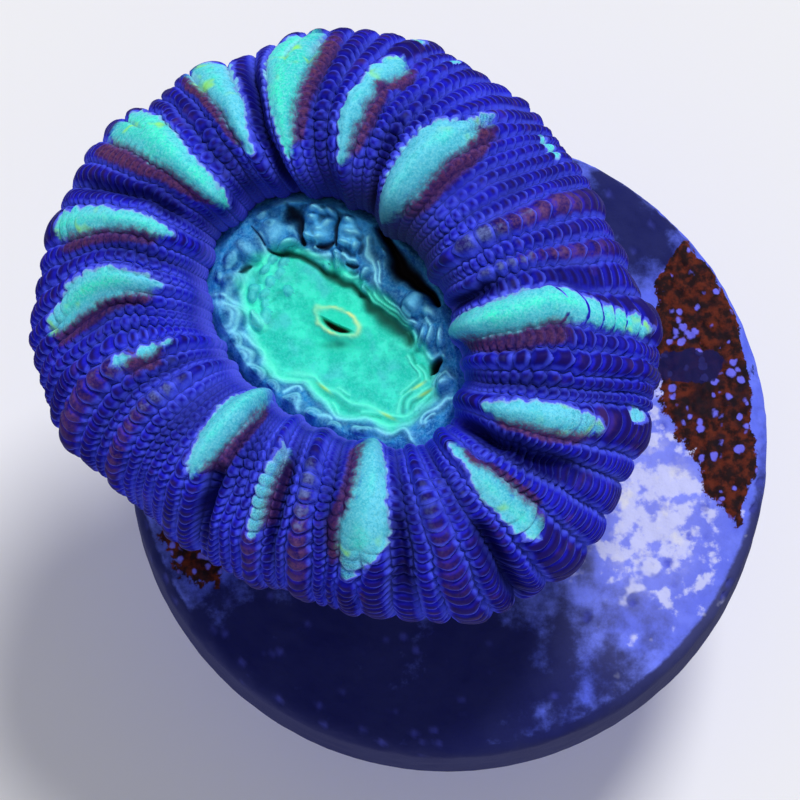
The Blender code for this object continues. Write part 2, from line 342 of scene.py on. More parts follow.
def lay_out_rows(random):
    """Large ribs where they are listed, and small rows of about equal width in the gaps."""
    rows = []
    for rib, following in zip(RIBS, RIBS[1:] + RIBS[:1]):
        width = rib.width / rib.rows
        for number in range(rib.rows):
            pitch = BEAD_PITCH * random.uniform(0.92, 1.08) * (1.0 + RIB_PITCH * (width - SMALL_ROW_WIDTH))
            low = rib.heading - rib.width / 2 + number * width
            rows.append(Row(low, low + width, pitch, random.random()))
        start = rib.heading + rib.width / 2
        gap = (following.heading - following.width / 2 - start) % 360.0
        count = max(1, round(gap / SMALL_ROW_WIDTH))
        weights = random.uniform(0.8, 1.2, count)
        edges = start + gap * np.concatenate([[0], np.cumsum(weights) / weights.sum()])
        for low, high in zip(edges[:-1], edges[1:]):
            pitch = BEAD_PITCH * random.uniform(0.85, 1.1)
            rows.append(Row(low, high, pitch, random.random()))
    return rows


def columns_of(rows):
    """Headings of the grid's columns: every groove has one, and a row has an even number of steps."""
    headings = []
    row_of_face = []
    for number, row in enumerate(rows):
        steps = max(4, 2 * round(row.width / COLUMN_STEP / 2))
        headings += list(row.low + row.width * np.arange(steps) / steps)
        row_of_face += [number] * steps
    return np.array(headings), np.array(row_of_face)


def row_turn(heading, station):
    """How far the rows have turned at a station, against their heading at station 0.5."""
    known = [rib.heading for rib in RIBS]

    def blended(values):
        return np.mean([np.interp(heading + away, known, values, period=360.0) for away in TURN_BLEND], 0)

    inner = blended([rib.inner for rib in RIBS])
    outer = blended([rib.outer for rib in RIBS])
    past = np.clip(station, 0.0, 1.0) - 0.5
    eased = 0.5 * (past + np.sqrt(past**2 + TURN_EASE**2)) - 0.5 * TURN_EASE  # grows past the middle
    return 2.0 * (inner * (past - eased) + outer * eased)


# ---------------------------------------------------------------------------
# Section of the mantle: from under the rim, over the crest, to the neck
# ---------------------------------------------------------------------------
TOP_RINGS = 250
UNDER_RINGS = 38
NECK_RINGS = 10
SECTION_SAMPLES = 4001


@dataclass
class Section:
    """The mantle's section as arrays, one entry a ring of the grid."""

    share: np.ndarray  # across from rim to equator
    height: np.ndarray
    neck: np.ndarray  # 0 on the mantle, rising to 1 at the neck
    length: np.ndarray  # along the surface from the rim
    station: np.ndarray  # 0 at the rim, 1 at the equator, more below it


def mantle_section():
    fine = np.linspace(0.0, 1.0, SECTION_SAMPLES)
    angle = pi + RIM_UNDERCUT - fine * (pi + RIM_UNDERCUT + pi / 2)
    inner = angle > pi / 2
    share = CREST_SHARE + np.where(inner, CREST_SHARE, 1 - CREST_SHARE) * np.cos(angle)
    outer_height = np.where(angle > 0, CREST_HEIGHT, UNDERSIDE_DEPTH) * np.sin(angle)
    rim_height = RIM_HEIGHT + (CREST_HEIGHT - RIM_HEIGHT) * np.sin(angle)
    height = np.where(inner, rim_height, outer_height)
    step = np.hypot(np.diff(share) * MEAN_WIDTH, np.diff(height))
    length = np.concatenate([[0.0], np.cumsum(step)])
    rim, seam, equator = np.interp([-pi, SEAM_ANGLE, 0.0], -angle, length)
    lengths = np.linspace(0.0, seam, TOP_RINGS)
    lengths = np.concatenate([lengths, np.linspace(seam, length[-1], UNDER_RINGS)[1:]])
    shares = np.interp(lengths, length, share)
    heights = np.interp(lengths, length, height)
    stations = np.where(lengths < rim, (lengths - rim) / MEAN_WIDTH, shares)
    stations = np.where(lengths > equator, 1.0 + (lengths - equator) / MEAN_WIDTH, stations)
    neck = np.linspace(0.0, 1.0, NECK_RINGS + 1)[1:]
    return Section(
        share=np.concatenate([shares, np.full(NECK_RINGS, shares[-1])]),
        height=np.concatenate([heights, heights[-1] - (NECK_DEPTH - UNDERSIDE_DEPTH) * neck**2]),
        neck=np.concatenate([np.zeros(len(lengths)), neck]),
        length=np.concatenate([lengths, lengths[-1] + NECK_RUN * neck]) - rim,
        station=np.concatenate([stations, stations[-1] + NECK_RUN * neck / MEAN_WIDTH]),
    )


# ---------------------------------------------------------------------------
# Meshes, all of them grids of rings that are closed round their columns
# ---------------------------------------------------------------------------
def grid_faces(rows, columns):
    """Corner indices of a grid's quads."""
    i, j = np.meshgrid(np.arange(rows - 1), np.arange(columns), indexing="ij")
    k = (j + 1) % columns
    corners = [i * columns + j, (i + 1) * columns + j, (i + 1) * columns + k, i * columns + k]
    return np.stack(corners, -1).reshape(-1)


def make_mesh(name, points, material, fields, caps=0, uv=None, normals=None):
    """A smooth mesh object from a grid of points.

    The fields are one number a point, uv is one pair a corner, and caps says how many of the
    grid's ends, first and last, are closed by a face."""
    rows, columns = points.shape[:2]
    corners = list(grid_faces(rows, columns))
    starts = list(range(0, len(corners), 4))
    ends = [range(columns), range(rows * columns - 1, (rows - 1) * columns - 1, -1)]
    for end in ends[:caps]:
        starts.append(len(corners))
        corners += list(end)
    mesh = bpy.data.meshes.new(name)
    mesh.vertices.add(rows * columns)
    mesh.vertices.foreach_set("co", points.astype(np.float32).reshape(-1))
    mesh.loops.add(len(corners))
    mesh.loops.foreach_set("vertex_index", np.array(corners, np.int32))
    mesh.polygons.add(len(starts))
    mesh.polygons.foreach_set("loop_start", np.array(starts, np.int32))
    mesh.update(calc_edges=True)
    mesh.validate()
    for key, values in fields.items():
        layer = mesh.attributes.new(key, "FLOAT", "POINT")
        layer.data.foreach_set("value", np.asarray(values, np.float32).reshape(-1))
    if uv is not None:
        layer = mesh.attributes.new("Beads", "FLOAT2", "CORNER")
        layer.data.foreach_set("vector", np.asarray(uv, np.float32).reshape(-1))
    mesh.materials.append(material)
    mesh.shade_smooth()
    if normals is not None:
        mesh.normals_split_custom_set_from_vertices(normals.reshape(-1, 3).tolist())
    made = bpy.data.objects.new(name, mesh)
    bpy.context.scene.collection.objects.link(made)
    return made


def grid_normals(points):
    """Unit normals of a grid of points, from its neighbours."""
    along = np.gradient(points, axis=0)
    across = np.roll(points, -1, 1) - np.roll(points, 1, 1)
    normal = np.cross(along, across)
    return normal / np.maximum(np.linalg.norm(normal, axis=-1, keepdims=True), 1e-12)


# ---------------------------------------------------------------------------
# Shader helpers
# ---------------------------------------------------------------------------
class Value:
    """A number or colour on its way through a material's nodes; arithmetic adds Math nodes."""

    def __init__(self, shader, socket):
        self.shader = shader
        self.socket = socket

    def __add__(self, other):
        return self.shader.math("ADD", self, other)

    def __sub__(self, other):
        return self.shader.math("SUBTRACT", self, other)

    def __rsub__(self, other):
        return self.shader.math("SUBTRACT", other, self)

    def __mul__(self, other):
        return self.shader.math("MULTIPLY", self, other)


class Shader:
    """A Principled material and short ways to add nodes to it."""

    def __init__(self, name, roughness, specular=0.5, **constants):
        self.material = bpy.data.materials.new(name)
        self.material.use_nodes = True
        self.tree = self.material.node_tree
        self.surface = self.tree.nodes["Principled BSDF"].inputs
        self.surface["Roughness"].default_value = roughness
        self.surface["Specular IOR Level"].default_value = specular
        for key, value in constants.items():
            self.surface[key.replace("_", " ")].default_value = value

    def node(self, kind, inputs=None, output=0, **settings):
        """Adds a node, sets its inputs by name or place, and gives one of its outputs."""
        made = self.tree.nodes.new("ShaderNode" + kind)
        for key, value in settings.items():
            setattr(made, key, value)
        for key, value in (inputs or {}).items():
            self.plug(made.inputs[key], value)
        return Value(self, made.outputs[output])

    def plug(self, socket, value):
        if isinstance(value, Value):
            self.tree.links.new(value.socket, socket)
        else:
            socket.default_value = value

    def math(self, operation, first, second=0.0):
        return self.node("Math", {0: first, 1: second}, operation=operation)

    def least(self, first, second):
        return self.math("MINIMUM", first, second)

    def most(self, first, second):
        return self.math("MAXIMUM", first, second)

    def attribute(self, name):
        return self.node("Attribute", output="Fac", attribute_name=name)

    def place(self):
        return self.node("TexCoord", output="Object")

    def beads(self):
        """Millimetres from the groove beside the row, and beads passed since the rim."""
        uv = self.node("UVMap", uv_map="Beads")
        return [self.node("SeparateXYZ", {0: uv}, axis) for axis in (0, 1)]

    def noise(self, cell, detail=3.0, roughness=0.5):
        inputs = {"Vector": self.place(), "Scale": 1.0 / cell, "Detail": detail, "Roughness": roughness}
        return self.node("TexNoise", inputs, "Fac", noise_dimensions="3D")

    def spots(self, cell):
        """Distance to the nearest of scattered points, in cells."""
        return self.node("TexVoronoi", {"Vector": self.place(), "Scale": 1.0 / cell}, "Distance")

    def step(self, value, low, high, start=0.0, end=1.0):
        inputs = dict(enumerate((value, low, high, start, end)))
        return self.node("MapRange", inputs, interpolation_type="SMOOTHSTEP")

    def mix(self, share, first, second):
        return self.node("Mix", {"Factor": share, "A": first, "B": second}, "Result", data_type="RGBA")

    def finish(self, colour, height=None, distance=0.0, strength=1.0):
        """Gives the surface its colour and, if there is a height, a bump from it."""
        self.plug(self.surface["Base Color"], colour)
        if height is not None:
            bumps = self.node("Bump", {"Strength": strength, "Distance": distance, "Height": height})
            self.plug(self.surface["Normal"], bumps)
        return self.material


def srgb(red, green, blue):
    """A colour as seen on screen, 0 to 255, turned into the linear values that shaders use."""
    linear = []
    for value in (red, green, blue):
        share = value / 255.0
        linear.append(share / 12.92 if share <= 0.04045 else ((share + 0.055) / 1.055) ** 2.4)
    return (*linear, 1.0)


# ---------------------------------------------------------------------------
# Mantle: bead rows on ribs
# ---------------------------------------------------------------------------
MANTLE_SEAMS = (0.3, 0.72)  # stations where the three upper meshes meet
ROW_ROUNDING = 0.6  # of a row's half width
ROW_SWAY = 0.7  # degrees that the rows wander sideways
INTERLOCK = 0.2  # of a row's width that a bead pushes into the gaps beside it
SKIN_DROP = 0.45 * MM  # the plain surface lies this far under the mean of the beaded one
BEAD_HEIGHT = 0.34 * MM
BEAD_ARC = 0.45  # how far a bead's edge bows, in bead lengths
NARROW_ROW = 0.2 * MM  # half width under which a row's beads are lower
WIDE_ROW = 0.42 * MM  # half width past which a row stands no taller
BAND_SCALE = 1.35  # of the listed band widths, to where a band has faded
PATCH_LEVEL = 0.2 * MM  # of a patch's surface over the plain one
PATCH_END = 0.05  # of a station, over which a green patch closes
PATCH_NONE = -4.0  # half width where there is no patch
MARK_STRENGTH = 0.8  # of the green of the marks off the ribs
GAP_DEPTH = 0.16 * MM  # below its surroundings, at which the painted shade in a gap between beads is darkest
# Depth of a cleft below its surroundings at which its painted shade is darkest
CLEFT_DEPTH = 0.4 * MM
# Parts of the wall by the mouth painted in shade: heading, half width, last station
WALL_SHADE = (46, 36, 0.3)
NORTH_SHADE = (92, 52, 0.26)
BROAD_RIM_HIGHLIGHT = (190, 80)  # heading and half width of the side where the painted highlight along the rim is broad


def smooth_mantle(section, headings, shift):
    """Points of the mantle without ribs or beads, in the polyp's frame, and their radii."""
    station = np.clip(section.station, 0.0, 1.2)[:, None]
    turn = row_turn(headings, station) + shift
    places = np.broadcast_arrays(np.cos(np.radians(headings)), np.sin(np.radians(headings)), station)
    angle = headings + turn + ROW_SWAY * layered_noise(np.stack(places, -1), 0.2, SEED + 10, 2)
    bulge_headings, bulges = np.array(BULGES).T
    inner = polar_radius(RIM_RING, angle)
    outer = polar_radius(EQUATOR_RING, angle)
    outer += MM * np.interp(angle, bulge_headings, bulges, period=360.0)
    radius = inner + (outer - inner) * section.share[:, None]
    x = ORAL_CENTRE[0] + radius * np.cos(np.radians(angle))
    y = ORAL_CENTRE[1] + radius * np.sin(np.radians(angle))
    about = np.arctan2(y, x)
    neck = section.neck[:, None]
    x = x * (1 - neck) + NECK_RADIUS * np.cos(about) * neck
    y = y * (1 - neck) + NECK_RADIUS * np.sin(about) * neck
    z = np.broadcast_to(section.height[:, None], x.shape)
    return np.stack([x, y, z], -1), np.hypot(x, y)


def rib_mound(section, headings):
    """Height of the large ribs, less the clefts between folds."""
    mound = sum(rib.height * MM * near(headings, rib.heading, 0.6 * rib.width) for rib in RIBS)
    rise = 0.3 + 0.7 * smooth(section.station, -0.05, 0.22)
    fall = 1.0 - 0.8 * smooth(section.station, 0.4, 1.0)
    surface = mound * (rise * fall)[:, None]
    for heading, half_width, depth, start, end in CREASES:
        along = smooth(section.station, start - 0.08, start + 0.08)
        along *= 1.0 - smooth(section.station, end - 0.12, end + 0.08)
        surface -= depth * MM * along[:, None] * near(headings, heading, half_width)
    return surface


def usual_pitch(section):
    """Length of a bead of a small row; they are shorter near the rim."""
    return BEAD_PITCH * (RIM_PITCH + (1 - RIM_PITCH) * smooth(section.station, 0.03, 0.3))


def row_counts(rows, section):
    """Beads passed since the rim along the middle of each row, one line a row."""
    pitch = usual_pitch(section)
    passed = np.concatenate([[0.0], np.cumsum(np.diff(section.length) * 2 / (pitch[1:] + pitch[:-1]))])
    passed -= np.interp(0.0, section.length, passed)
    along = np.stack([section.length, 0 * section.length, 0 * section.length], -1)
    counts = []
    for number, row in enumerate(rows):
        own = 0.9 * lattice_noise(along + (0, 7.0 * number, 0), 2.2 * MM, SEED + 21)
        counts.append(passed * (BEAD_PITCH / row.pitch) + row.phase + own)
    return np.array(counts)


def bead_skew(section):
    """-1 where beads overlap towards the mouth, 1 where they overlap outwards."""
    return 2.0 * smooth(section.station, 0.12, 0.62) - 1.0


def bead_relief(section, headings, points):
    """How strongly the beads stand out, from 0 to 1."""
    relief = 0.8 + 0.45 * layered_noise(points, 2.3 * MM, SEED, 2)
    for heading, station, half_heading, half_station in SMOOTH_AREAS:
        along = bump(section.station - station, half_station)[:, None]
        relief -= 0.85 * along * near(headings, heading, half_heading)
    near_rim = 0.3 + 0.7 * smooth(section.station, 0.02, 0.3)
    below = 1.0 - 0.8 * smooth(section.station, 1.25, 1.9)
    return np.clip(relief, 0.12, 1.0) * (near_rim * below)[:, None]


def bead_dome(count, across, skew):
    """Height of a bead from 0 at its foot to 1; its peak leans with skew."""
    share = count - np.floor(count)
    peak = 0.5 + 0.2 * skew[:, None]
    along = np.where(share < peak, share / peak - 1.0, (share - peak) / (1.0 - peak))
    return np.sqrt(np.clip(1.0 - np.abs(along) ** 2.3 - np.abs(across) ** 2.3, 0.0, 1.0))


def interlock(rows, counts, row_of_column, across, relief):
    """Sideways shift in degrees that lets each bead bulge into the gaps of the rows beside it."""
    fullness = np.sqrt(np.clip(1.0 - np.abs(2.0 * (counts - np.floor(counts)) - 1.0) ** 2.2, 0.0, 1.0))
    width = np.array([row.width for row in rows])
    least = np.minimum(width, np.roll(width, -1))[:, None]
    right = INTERLOCK * least * (fullness - np.roll(fullness, -1, 0))
    left = np.roll(right, 1, 0)
    share = (across + 1.0) / 2.0
    return (left[row_of_column].T * (1.0 - share) + right[row_of_column].T * share) * relief


def row_rounding(section, across, half_width, relief, level):
    """Height of the rows' rounded backs, levelled where a patch covers them."""
    tall = WIDE_ROW * np.tanh(half_width / WIDE_ROW)
    rounding = ROW_ROUNDING * tall * np.sqrt(1.0 - 0.99 * across**2) * (0.35 + 0.65 * relief)
    below = 1.0 - 0.75 * smooth(section.station, 1.2, 1.8)
    rounding *= (below * (0.6 + 0.4 * smooth(section.station, 0.0, 0.25)))[:, None]
    return rounding * (1.0 - level) + PATCH_LEVEL * level


def lay_beads(rows, row_of_column, across, counts, skew, radius):
    """Height of the beads from 0 to 1, and for each corner of each face its distance from the
    groove in mm and the beads passed since the rim."""
    rings, columns = radius.shape
    beads = np.zeros(radius.shape)
    uv = np.zeros((rings - 1, columns, 4, 2))
    for number, row in enumerate(rows):
        own = np.flatnonzero(row_of_column == number)
        places = np.append(own, (own[-1] + 1) % columns)
        share = np.append(across[own], 1.0)
        count = counts[number][:, None] + BEAD_ARC * skew[:, None] * share**2
        beads[:, own] = bead_dome(count[:, :-1], across[own], skew)
        edge = np.minimum(1.0 + share, 1.0 - share) * np.radians(row.width / 2) * radius[:, places] / MM
        for corner, (down, right) in enumerate(((0, 0), (1, 0), (1, 1), (0, 1))):
            picks = (slice(down, rings - 1 + down), slice(right, len(own) + right))
            uv[:, own, corner] = np.stack([edge[picks], count[picks]], -1)
    return beads, uv


def paint_rib(fields, rib, station, headings, radius):
    """Adds a rib's patch and its maroon band to the painted fields."""
    away = wrapped(headings - rib.heading)
    stations, offsets, halves = np.array(rib.patch).T
    first = stations[0] - 0.02
    last = min(stations[-1] + 0.04, rib.band_end)
    offset = np.interp(station, stations, offsets)
    stations = np.concatenate([[stations[0] - PATCH_END], stations, [stations[-1] + PATCH_END]])
    half = np.interp(station, stations, np.concatenate([[PATCH_NONE], halves, [PATCH_NONE]]))
    side = np.sign(rib.band)
    close = np.abs(away) < 1.7 * rib.width
    green = (half - np.abs(away - offset)) * np.radians(1.0) * radius / MM
    values = {
        "strength": rib.strength - rib.fade * smooth(station, last - 0.32, last - 0.02),
        "tint": rib.tint,
        "gaps": rib.gaps * smooth(station, 0.56, 0.76),
        "band_side": smooth(side * (away - offset), -1.0, 1.5),
        "green": green,
    }
    better = close & (green > fields["green"])
    for key, value in values.items():
        fields[key] = np.where(better, value, fields[key])
    past = (side * (away - offset) - np.maximum(half, 0.0)) / (BAND_SCALE * abs(rib.band))
    band = smooth(past, -0.5, 0.0) * (1.0 - smooth(past, 0.45, 1.1))
    band *= smooth(station, first, first + 0.14) * (1.0 - smooth(station, last - 0.16, last))
    fields["maroon"] = np.maximum(fields["maroon"], close * band)


def paint_mantle(section, headings, radius):
    """Fields of the marks; green is in mm inside its edge."""
    starts = {"green": -2.0, "maroon": 0.0, "band_side": 0.0, "fleck": 0.0, "strength": 1.0, "tint": 0.5,
              "gaps": 0.0}
    fields = {key: np.full(radius.shape, start) for key, start in starts.items()}
    station = section.station[:, None]
    for rib in RIBS:
        along = smooth(station, 0.2, 0.4) * (1 - smooth(station, 0.85, 1.0))
        mark = rib.flecks * along * near(headings, rib.heading, 0.42 * rib.width)
        fields["fleck"] = np.maximum(fields["fleck"], mark)
        if rib.patch:
            paint_rib(fields, rib, station, headings, radius)
    for heading, middle, half_heading, half_station in MARKS:
        away = wrapped(headings - heading) / half_heading
        mark = 0.3 * (1.0 - np.hypot((station - middle) / half_station, away))
        better = mark > np.maximum(fields["green"], -0.15)
        fields["green"] = np.where(better, mark, fields["green"])
        fields["strength"] = np.where(better, MARK_STRENGTH, fields["strength"])
    return fields


def shade_mantle(section, headings, relief_height, raised):
    """Fields of painted shade in the gaps between beads, the clefts between folds and the walls by the
    mouth, and of the painted highlight along the rim round the oral disc.
    """
    station = section.station[:, None]
    # Painted shade in the gaps between beads and in the clefts between folds, from how far they lie below
    # their surroundings
    gap = smooth((blurred(relief_height, 4, 5) - relief_height) / GAP_DEPTH)
    cleft = smooth((blurred(raised, 14, 26) - blurred(raised, 2, 4)) / CLEFT_DEPTH)
    # Painted shade on the walls by the mouth in the north east and the north
    wall_shade = near(headings, *WALL_SHADE[:2]) * (1.0 - smooth(station, 0.0, WALL_SHADE[2]))
    north_shade = near(headings, *NORTH_SHADE[:2])
    dim = 0.62 * north_shade * (1.0 - smooth(station, 0.0, NORTH_SHADE[2]))
    lit = (1.0 - 0.48 * gap) * (1.0 - 0.75 * cleft) * (1.0 - 0.5 * wall_shade) * (1.0 - dim)
    # Painted highlight along the rim: broad on the lit west side, dimmed in the shaded north
    past_rim = smooth((station + 0.02) / (0.05 + 0.07 * near(headings, *BROAD_RIM_HIGHLIGHT)))
    return {"painted_shade": 1.0 - lit, "lip": 0.85 * (1.0 - past_rim) * (1.0 - 0.8 * north_shade), "wall_shade": wall_shade}


def make_mantle(material):
    rows = lay_out_rows(np.random.default_rng(SEED))
    headings, row_of_column = columns_of(rows)
    section = mantle_section()
    skew = bead_skew(section)
    low = np.array([rows[number].low for number in row_of_column])
    half = np.array([rows[number].width / 2 for number in row_of_column])
    across = (headings - low) / half - 1.0

    plain, radius = smooth_mantle(section, headings, 0.0)
    fields = paint_mantle(section, headings, radius)
    relief = bead_relief(section, headings, plain)
    inner_part = 1.0 - 0.5 * smooth(section.station, 0.66, 0.85)[:, None]
    covered = smooth(fields["green"], -0.1, 0.15) * fields["strength"] * inner_part
    plump = relief * (1.0 - 0.93 * covered) * (1.0 - 0.4 * fields["maroon"] * inner_part)
    counts = row_counts(rows, section)
    shift = interlock(rows, counts, row_of_column, across, blurred(plump, 2, 2))
    points, radius = smooth_mantle(section, headings, shift)

    half_width = np.radians(half) * radius
    beads, uv = lay_beads(rows, row_of_column, across, counts, skew, radius)
    relief_height = row_rounding(section, across, half_width, relief, blurred(covered, 4, 3))
    relief_height += BEAD_HEIGHT * np.tanh(half_width / NARROW_ROW) * beads * plump
    mound = rib_mound(section, headings) + 0.12 * MM * layered_noise(plain, 3.0 * MM, SEED + 30, 2)
    raised = (mound + relief_height - SKIN_DROP) * (1.0 - smooth(section.neck))[:, None]
    points = placed(points + grid_normals(points) * raised[..., None])
    normals = grid_normals(points)

    fields.update(shade_mantle(section, headings, relief_height, raised))
    pitches = np.array([rows[number].pitch for number in row_of_column])
    fields["pitch"] = usual_pitch(section)[:, None] * (pitches / BEAD_PITCH) / MM
    fields["skew"] = np.broadcast_to(skew[:, None], radius.shape)
    fields["relief"] = plump
    fields["station"] = np.broadcast_to(section.station[:, None], radius.shape)
    names = ("coral_mantle_inner", "coral_mantle_crest", "coral_mantle_outer", "coral_underside")
    seams = [0, *np.searchsorted(section.station, MANTLE_SEAMS), TOP_RINGS - 1, len(points) - 1]
    made = []
    for name, first, last in zip(names, seams[:-1], seams[1:]):
        own = slice(first, last + 1)
        painted = {key: values[own] for key, values in fields.items()}
        made.append(make_mesh(name, points[own], material, painted, uv=uv[first:last], normals=normals[own]))
    return made


def bead_masks(shader):
    """Where on its bead a point lies, the painted highlights on the beads' edges and the painted shade in
    their grooves, and the noises that the mantle's colours share.
    """
    across, count = shader.beads()
    pitch = shader.attribute("pitch")
    skew = shader.attribute("skew")
    relief = shader.attribute("relief")
    inward = shader.math("FRACT", count) * pitch
    outward = pitch - inward
    ends = shader.least(inward, outward)
    nearest = shader.least(ends, across)
    # Painted highlights on the beads' outer, inner and side edges, as if lit at a grazing angle
    outer_highlight = shader.step(outward, 0.02, 0.19, 1, 0) * shader.step(skew, -0.8, 0.2)
    inner_highlight = shader.step(inward, 0.02, 0.19, 1, 0) * shader.step(skew, -0.2, 0.8, 1, 0)
    side_highlight = shader.step(across, 0.02, 0.21, 1, 0)
    limb_highlight = shader.most(shader.most(outer_highlight, inner_highlight), side_highlight) * shader.step(relief, 0.0, 0.6)
    fine = shader.noise(0.12 * MM, 3, 0.65)
    return SimpleNamespace(
        across=across,
        ends=ends,
        nearest=nearest,
        relief=relief,
        limb_highlight=limb_highlight,
        # Painted shade in the grooves between beads
        groove_shade=shader.step(nearest, 0.0, 0.035, 0.35, 0) * shader.step(relief, 0.05, 0.6),
        fine=fine,
        jitter=fine - 0.5,
        coarse=shader.noise(0.45 * MM, 2, 0.5) - 0.5,
        station=shader.attribute("station"),
    )


def blue_flesh(shader, bead):
    """The bead rows' colours, with rusty flecks and maroon bands, painted highlights on the beads' edges and
    painted shade in their middles and grooves.
    """
    body = shader.mix(shader.step(shader.noise(1.6 * MM), 0.3, 0.7), srgb(14, 14, 144), srgb(30, 32, 214))
    body = shader.mix(shader.step(bead.fine, 0.3, 0.7) * 0.3, body, srgb(15, 12, 106))
    # Painted shade: the beads' middles are darker, set against their painted edge highlights
    middle = shader.step(bead.across, 0.12, 0.3) * shader.step(bead.nearest, 0.08, 0.2, 0.0, 0.85)
    body = shader.mix(middle, body, srgb(24, 8, 84))
    fleck = shader.attribute("fleck") * shader.step(bead.coarse * 0.9 + bead.fine, 0.2, 0.8)
    blush = shader.step(shader.noise(0.9 * MM), 0.56, 0.74) * 0.25
    rusty = shader.step(bead.coarse * -0.7 + bead.station, 0.4, 0.62)
    rust = shader.mix(rusty, srgb(118, 136, 206), srgb(116, 72, 118))
    body = shader.mix(shader.most(fleck, blush) * 0.75, body, rust)
    # Painted highlight on the beads' edges
    fuzzy_highlight = bead.limb_highlight * shader.step(bead.fine, 0.25, 0.6, 0.7, 1.0)
    colour = shader.mix(fuzzy_highlight, body, srgb(82, 98, 255))
    # Painted shade in the grooves
    colour = shader.mix(bead.groove_shade, colour, srgb(12, 10, 98))
    maroon = bead.jitter * 0.9 + (bead.coarse * 0.6 + shader.attribute("maroon"))
    dusk = shader.mix(shader.step(bead.fine, 0.3, 0.7), srgb(112, 62, 88), srgb(56, 28, 72))
    return shader.mix(shader.step(maroon, 0.2, 0.8, 0.0, 0.85), colour, dusk)


def green_flesh(shader, bead, band_side):
    """The patches' colours: mint to blue, mottled, duller on the side of the maroon band, with painted
    highlights on the beads' edges and painted shade in the grooves.
    """
    zone = shader.noise(1.3 * MM, 2) + shader.attribute("tint")
    zone = zone + shader.step(shader.attribute("green"), 0.1, 0.7, -0.15, 0.2)
    mint = shader.mix(shader.step(zone, 0.65, 1.3), srgb(104, 214, 244), srgb(66, 246, 212))
    mint = shader.mix(shader.step(shader.noise(0.6 * MM), 0.45, 0.75, 0.0, 0.5), mint, srgb(62, 194, 222))
    mint = shader.mix(band_side * 0.4, mint, srgb(46, 170, 190))
    mottle = shader.step(shader.noise(0.14 * MM, 3, 0.75), 0.44, 0.68, 0.0, 0.6)
    mint = shader.mix(mottle, mint, srgb(38, 164, 190))
    felt = shader.step(shader.noise(0.09 * MM, 2), 0.4, 0.72) * 0.45
    mint = shader.mix(felt, mint, srgb(138, 232, 244))
    yellow = shader.step(shader.noise(0.7 * MM, 1), 0.57, 0.78) * shader.step(bead.station, 0.5, 0.75)
    mint = shader.mix(yellow * 0.9, mint, srgb(150, 240, 110))
    # Painted highlight on the beads' edges over the patches
    seams = bead.limb_highlight * shader.step(bead.relief, 0.25, 0.6, 0.0, 0.8)
    mint = shader.mix(seams, mint, srgb(156, 230, 252))
    # Painted shade in the grooves
    return shader.mix(bead.groove_shade * 0.6, mint, srgb(40, 110, 190))


def flesh_material():
    sheen = {"Sheen_Weight": 0.06, "Sheen_Roughness": 0.3, "Sheen_Tint": srgb(60, 80, 255)}
    shader = Shader("flesh", 0.62, 0.08, **sheen)
    bead = bead_masks(shader)
    band_side = shader.attribute("band_side")
    free_side = 1.0 - band_side
    broken = shader.step(shader.noise(0.5 * MM, 2), 0.45, 0.6, 0.2, 1.0)
    gaps = shader.step(bead.ends, 0.02, 0.1, 1.0, 0.0) * broken * shader.attribute("gaps")
    edge = bead.jitter * 0.12 + (bead.coarse * 0.42 + shader.attribute("green"))
    edge = edge + shader.step(bead.ends, 0.0, 0.16, -0.015, 0.015) - gaps
    sharp = shader.step(edge, -0.07, 0.07)
    soft = shader.step(bead.jitter * 0.3 + edge, -0.2, 0.24)
    thin = shader.attribute("strength") + (shader.noise(0.06 * MM, 2, 0.8) - 0.5) * 1.2
    inside = (band_side * (soft - sharp) + sharp) * shader.step(thin, 0.05, 0.85)

    colour = shader.mix(inside, blue_flesh(shader, bead), green_flesh(shader, bead, band_side))
    outline = shader.step(edge, -0.2, -0.08) * shader.step(edge, -0.06, 0.03, 1, 0) * free_side
    colour = shader.mix(outline * 0.8, colour, srgb(92, 106, 255))
    crisp = shader.step(edge, -0.05, 0.0) * shader.step(edge, 0.01, 0.07, 1, 0) * free_side
    colour = shader.mix(crisp * 0.6, colour, srgb(150, 196, 255))
    # Painted highlight along the rim round the oral disc
    colour = shader.mix(shader.attribute("lip"), colour, srgb(104, 108, 255))
    # Painted shade in gaps, clefts and the shaded walls by the mouth, weaker on the patches
    shade = shader.attribute("painted_shade") * (inside * -0.55 + 1.0)
    colour = shader.mix(shade, colour, srgb(8, 8, 76))
    # Painted shade on the wall by the mouth that the light does not reach
    wall_shade = shader.mix(bead.fine, srgb(24, 20, 52), srgb(66, 64, 92))
    colour = shader.mix(shader.attribute("wall_shade") * 0.8, colour, wall_shade)
    return shader.finish(colour, bead.fine * 0.6 + bead.limb_highlight * 0.3, 0.03 * MM, 0.5)


# ---------------------------------------------------------------------------
# Oral disc: floor, mouth and the fringe of lobes and ruffles inside the rim.
# Headings are in degrees; a share is of the way from the oral centre to the rim.
# ---------------------------------------------------------------------------
@dataclass
class Lobe:
    """An upright dome of the fringe; sizes in mm."""

    heading: float
    share: float
    sideways: float  # half width round the mouth
    outwards: float  # half width away from the mouth
    height: float
    rings: float = 0.0  # strength of the painted light rings nested in it
    eye: float = 0.0  # painted shade in its middle


@dataclass
class Fold:
    """A ridge of the fringe through points (heading, share), with a painted highlight along its crest."""

    points: list
    height: float  # mm
    width: float  # mm
    shadow: float  # painted shadow in the hollow on its outward side


@dataclass
class Hollow:
    """A hollow along points (heading, share, half width in mm), painted with shade."""

    points: list
    depth: float  # mm
    black: float  # 0 painted shade in the flesh colour, 1 a painted shadow nearly black
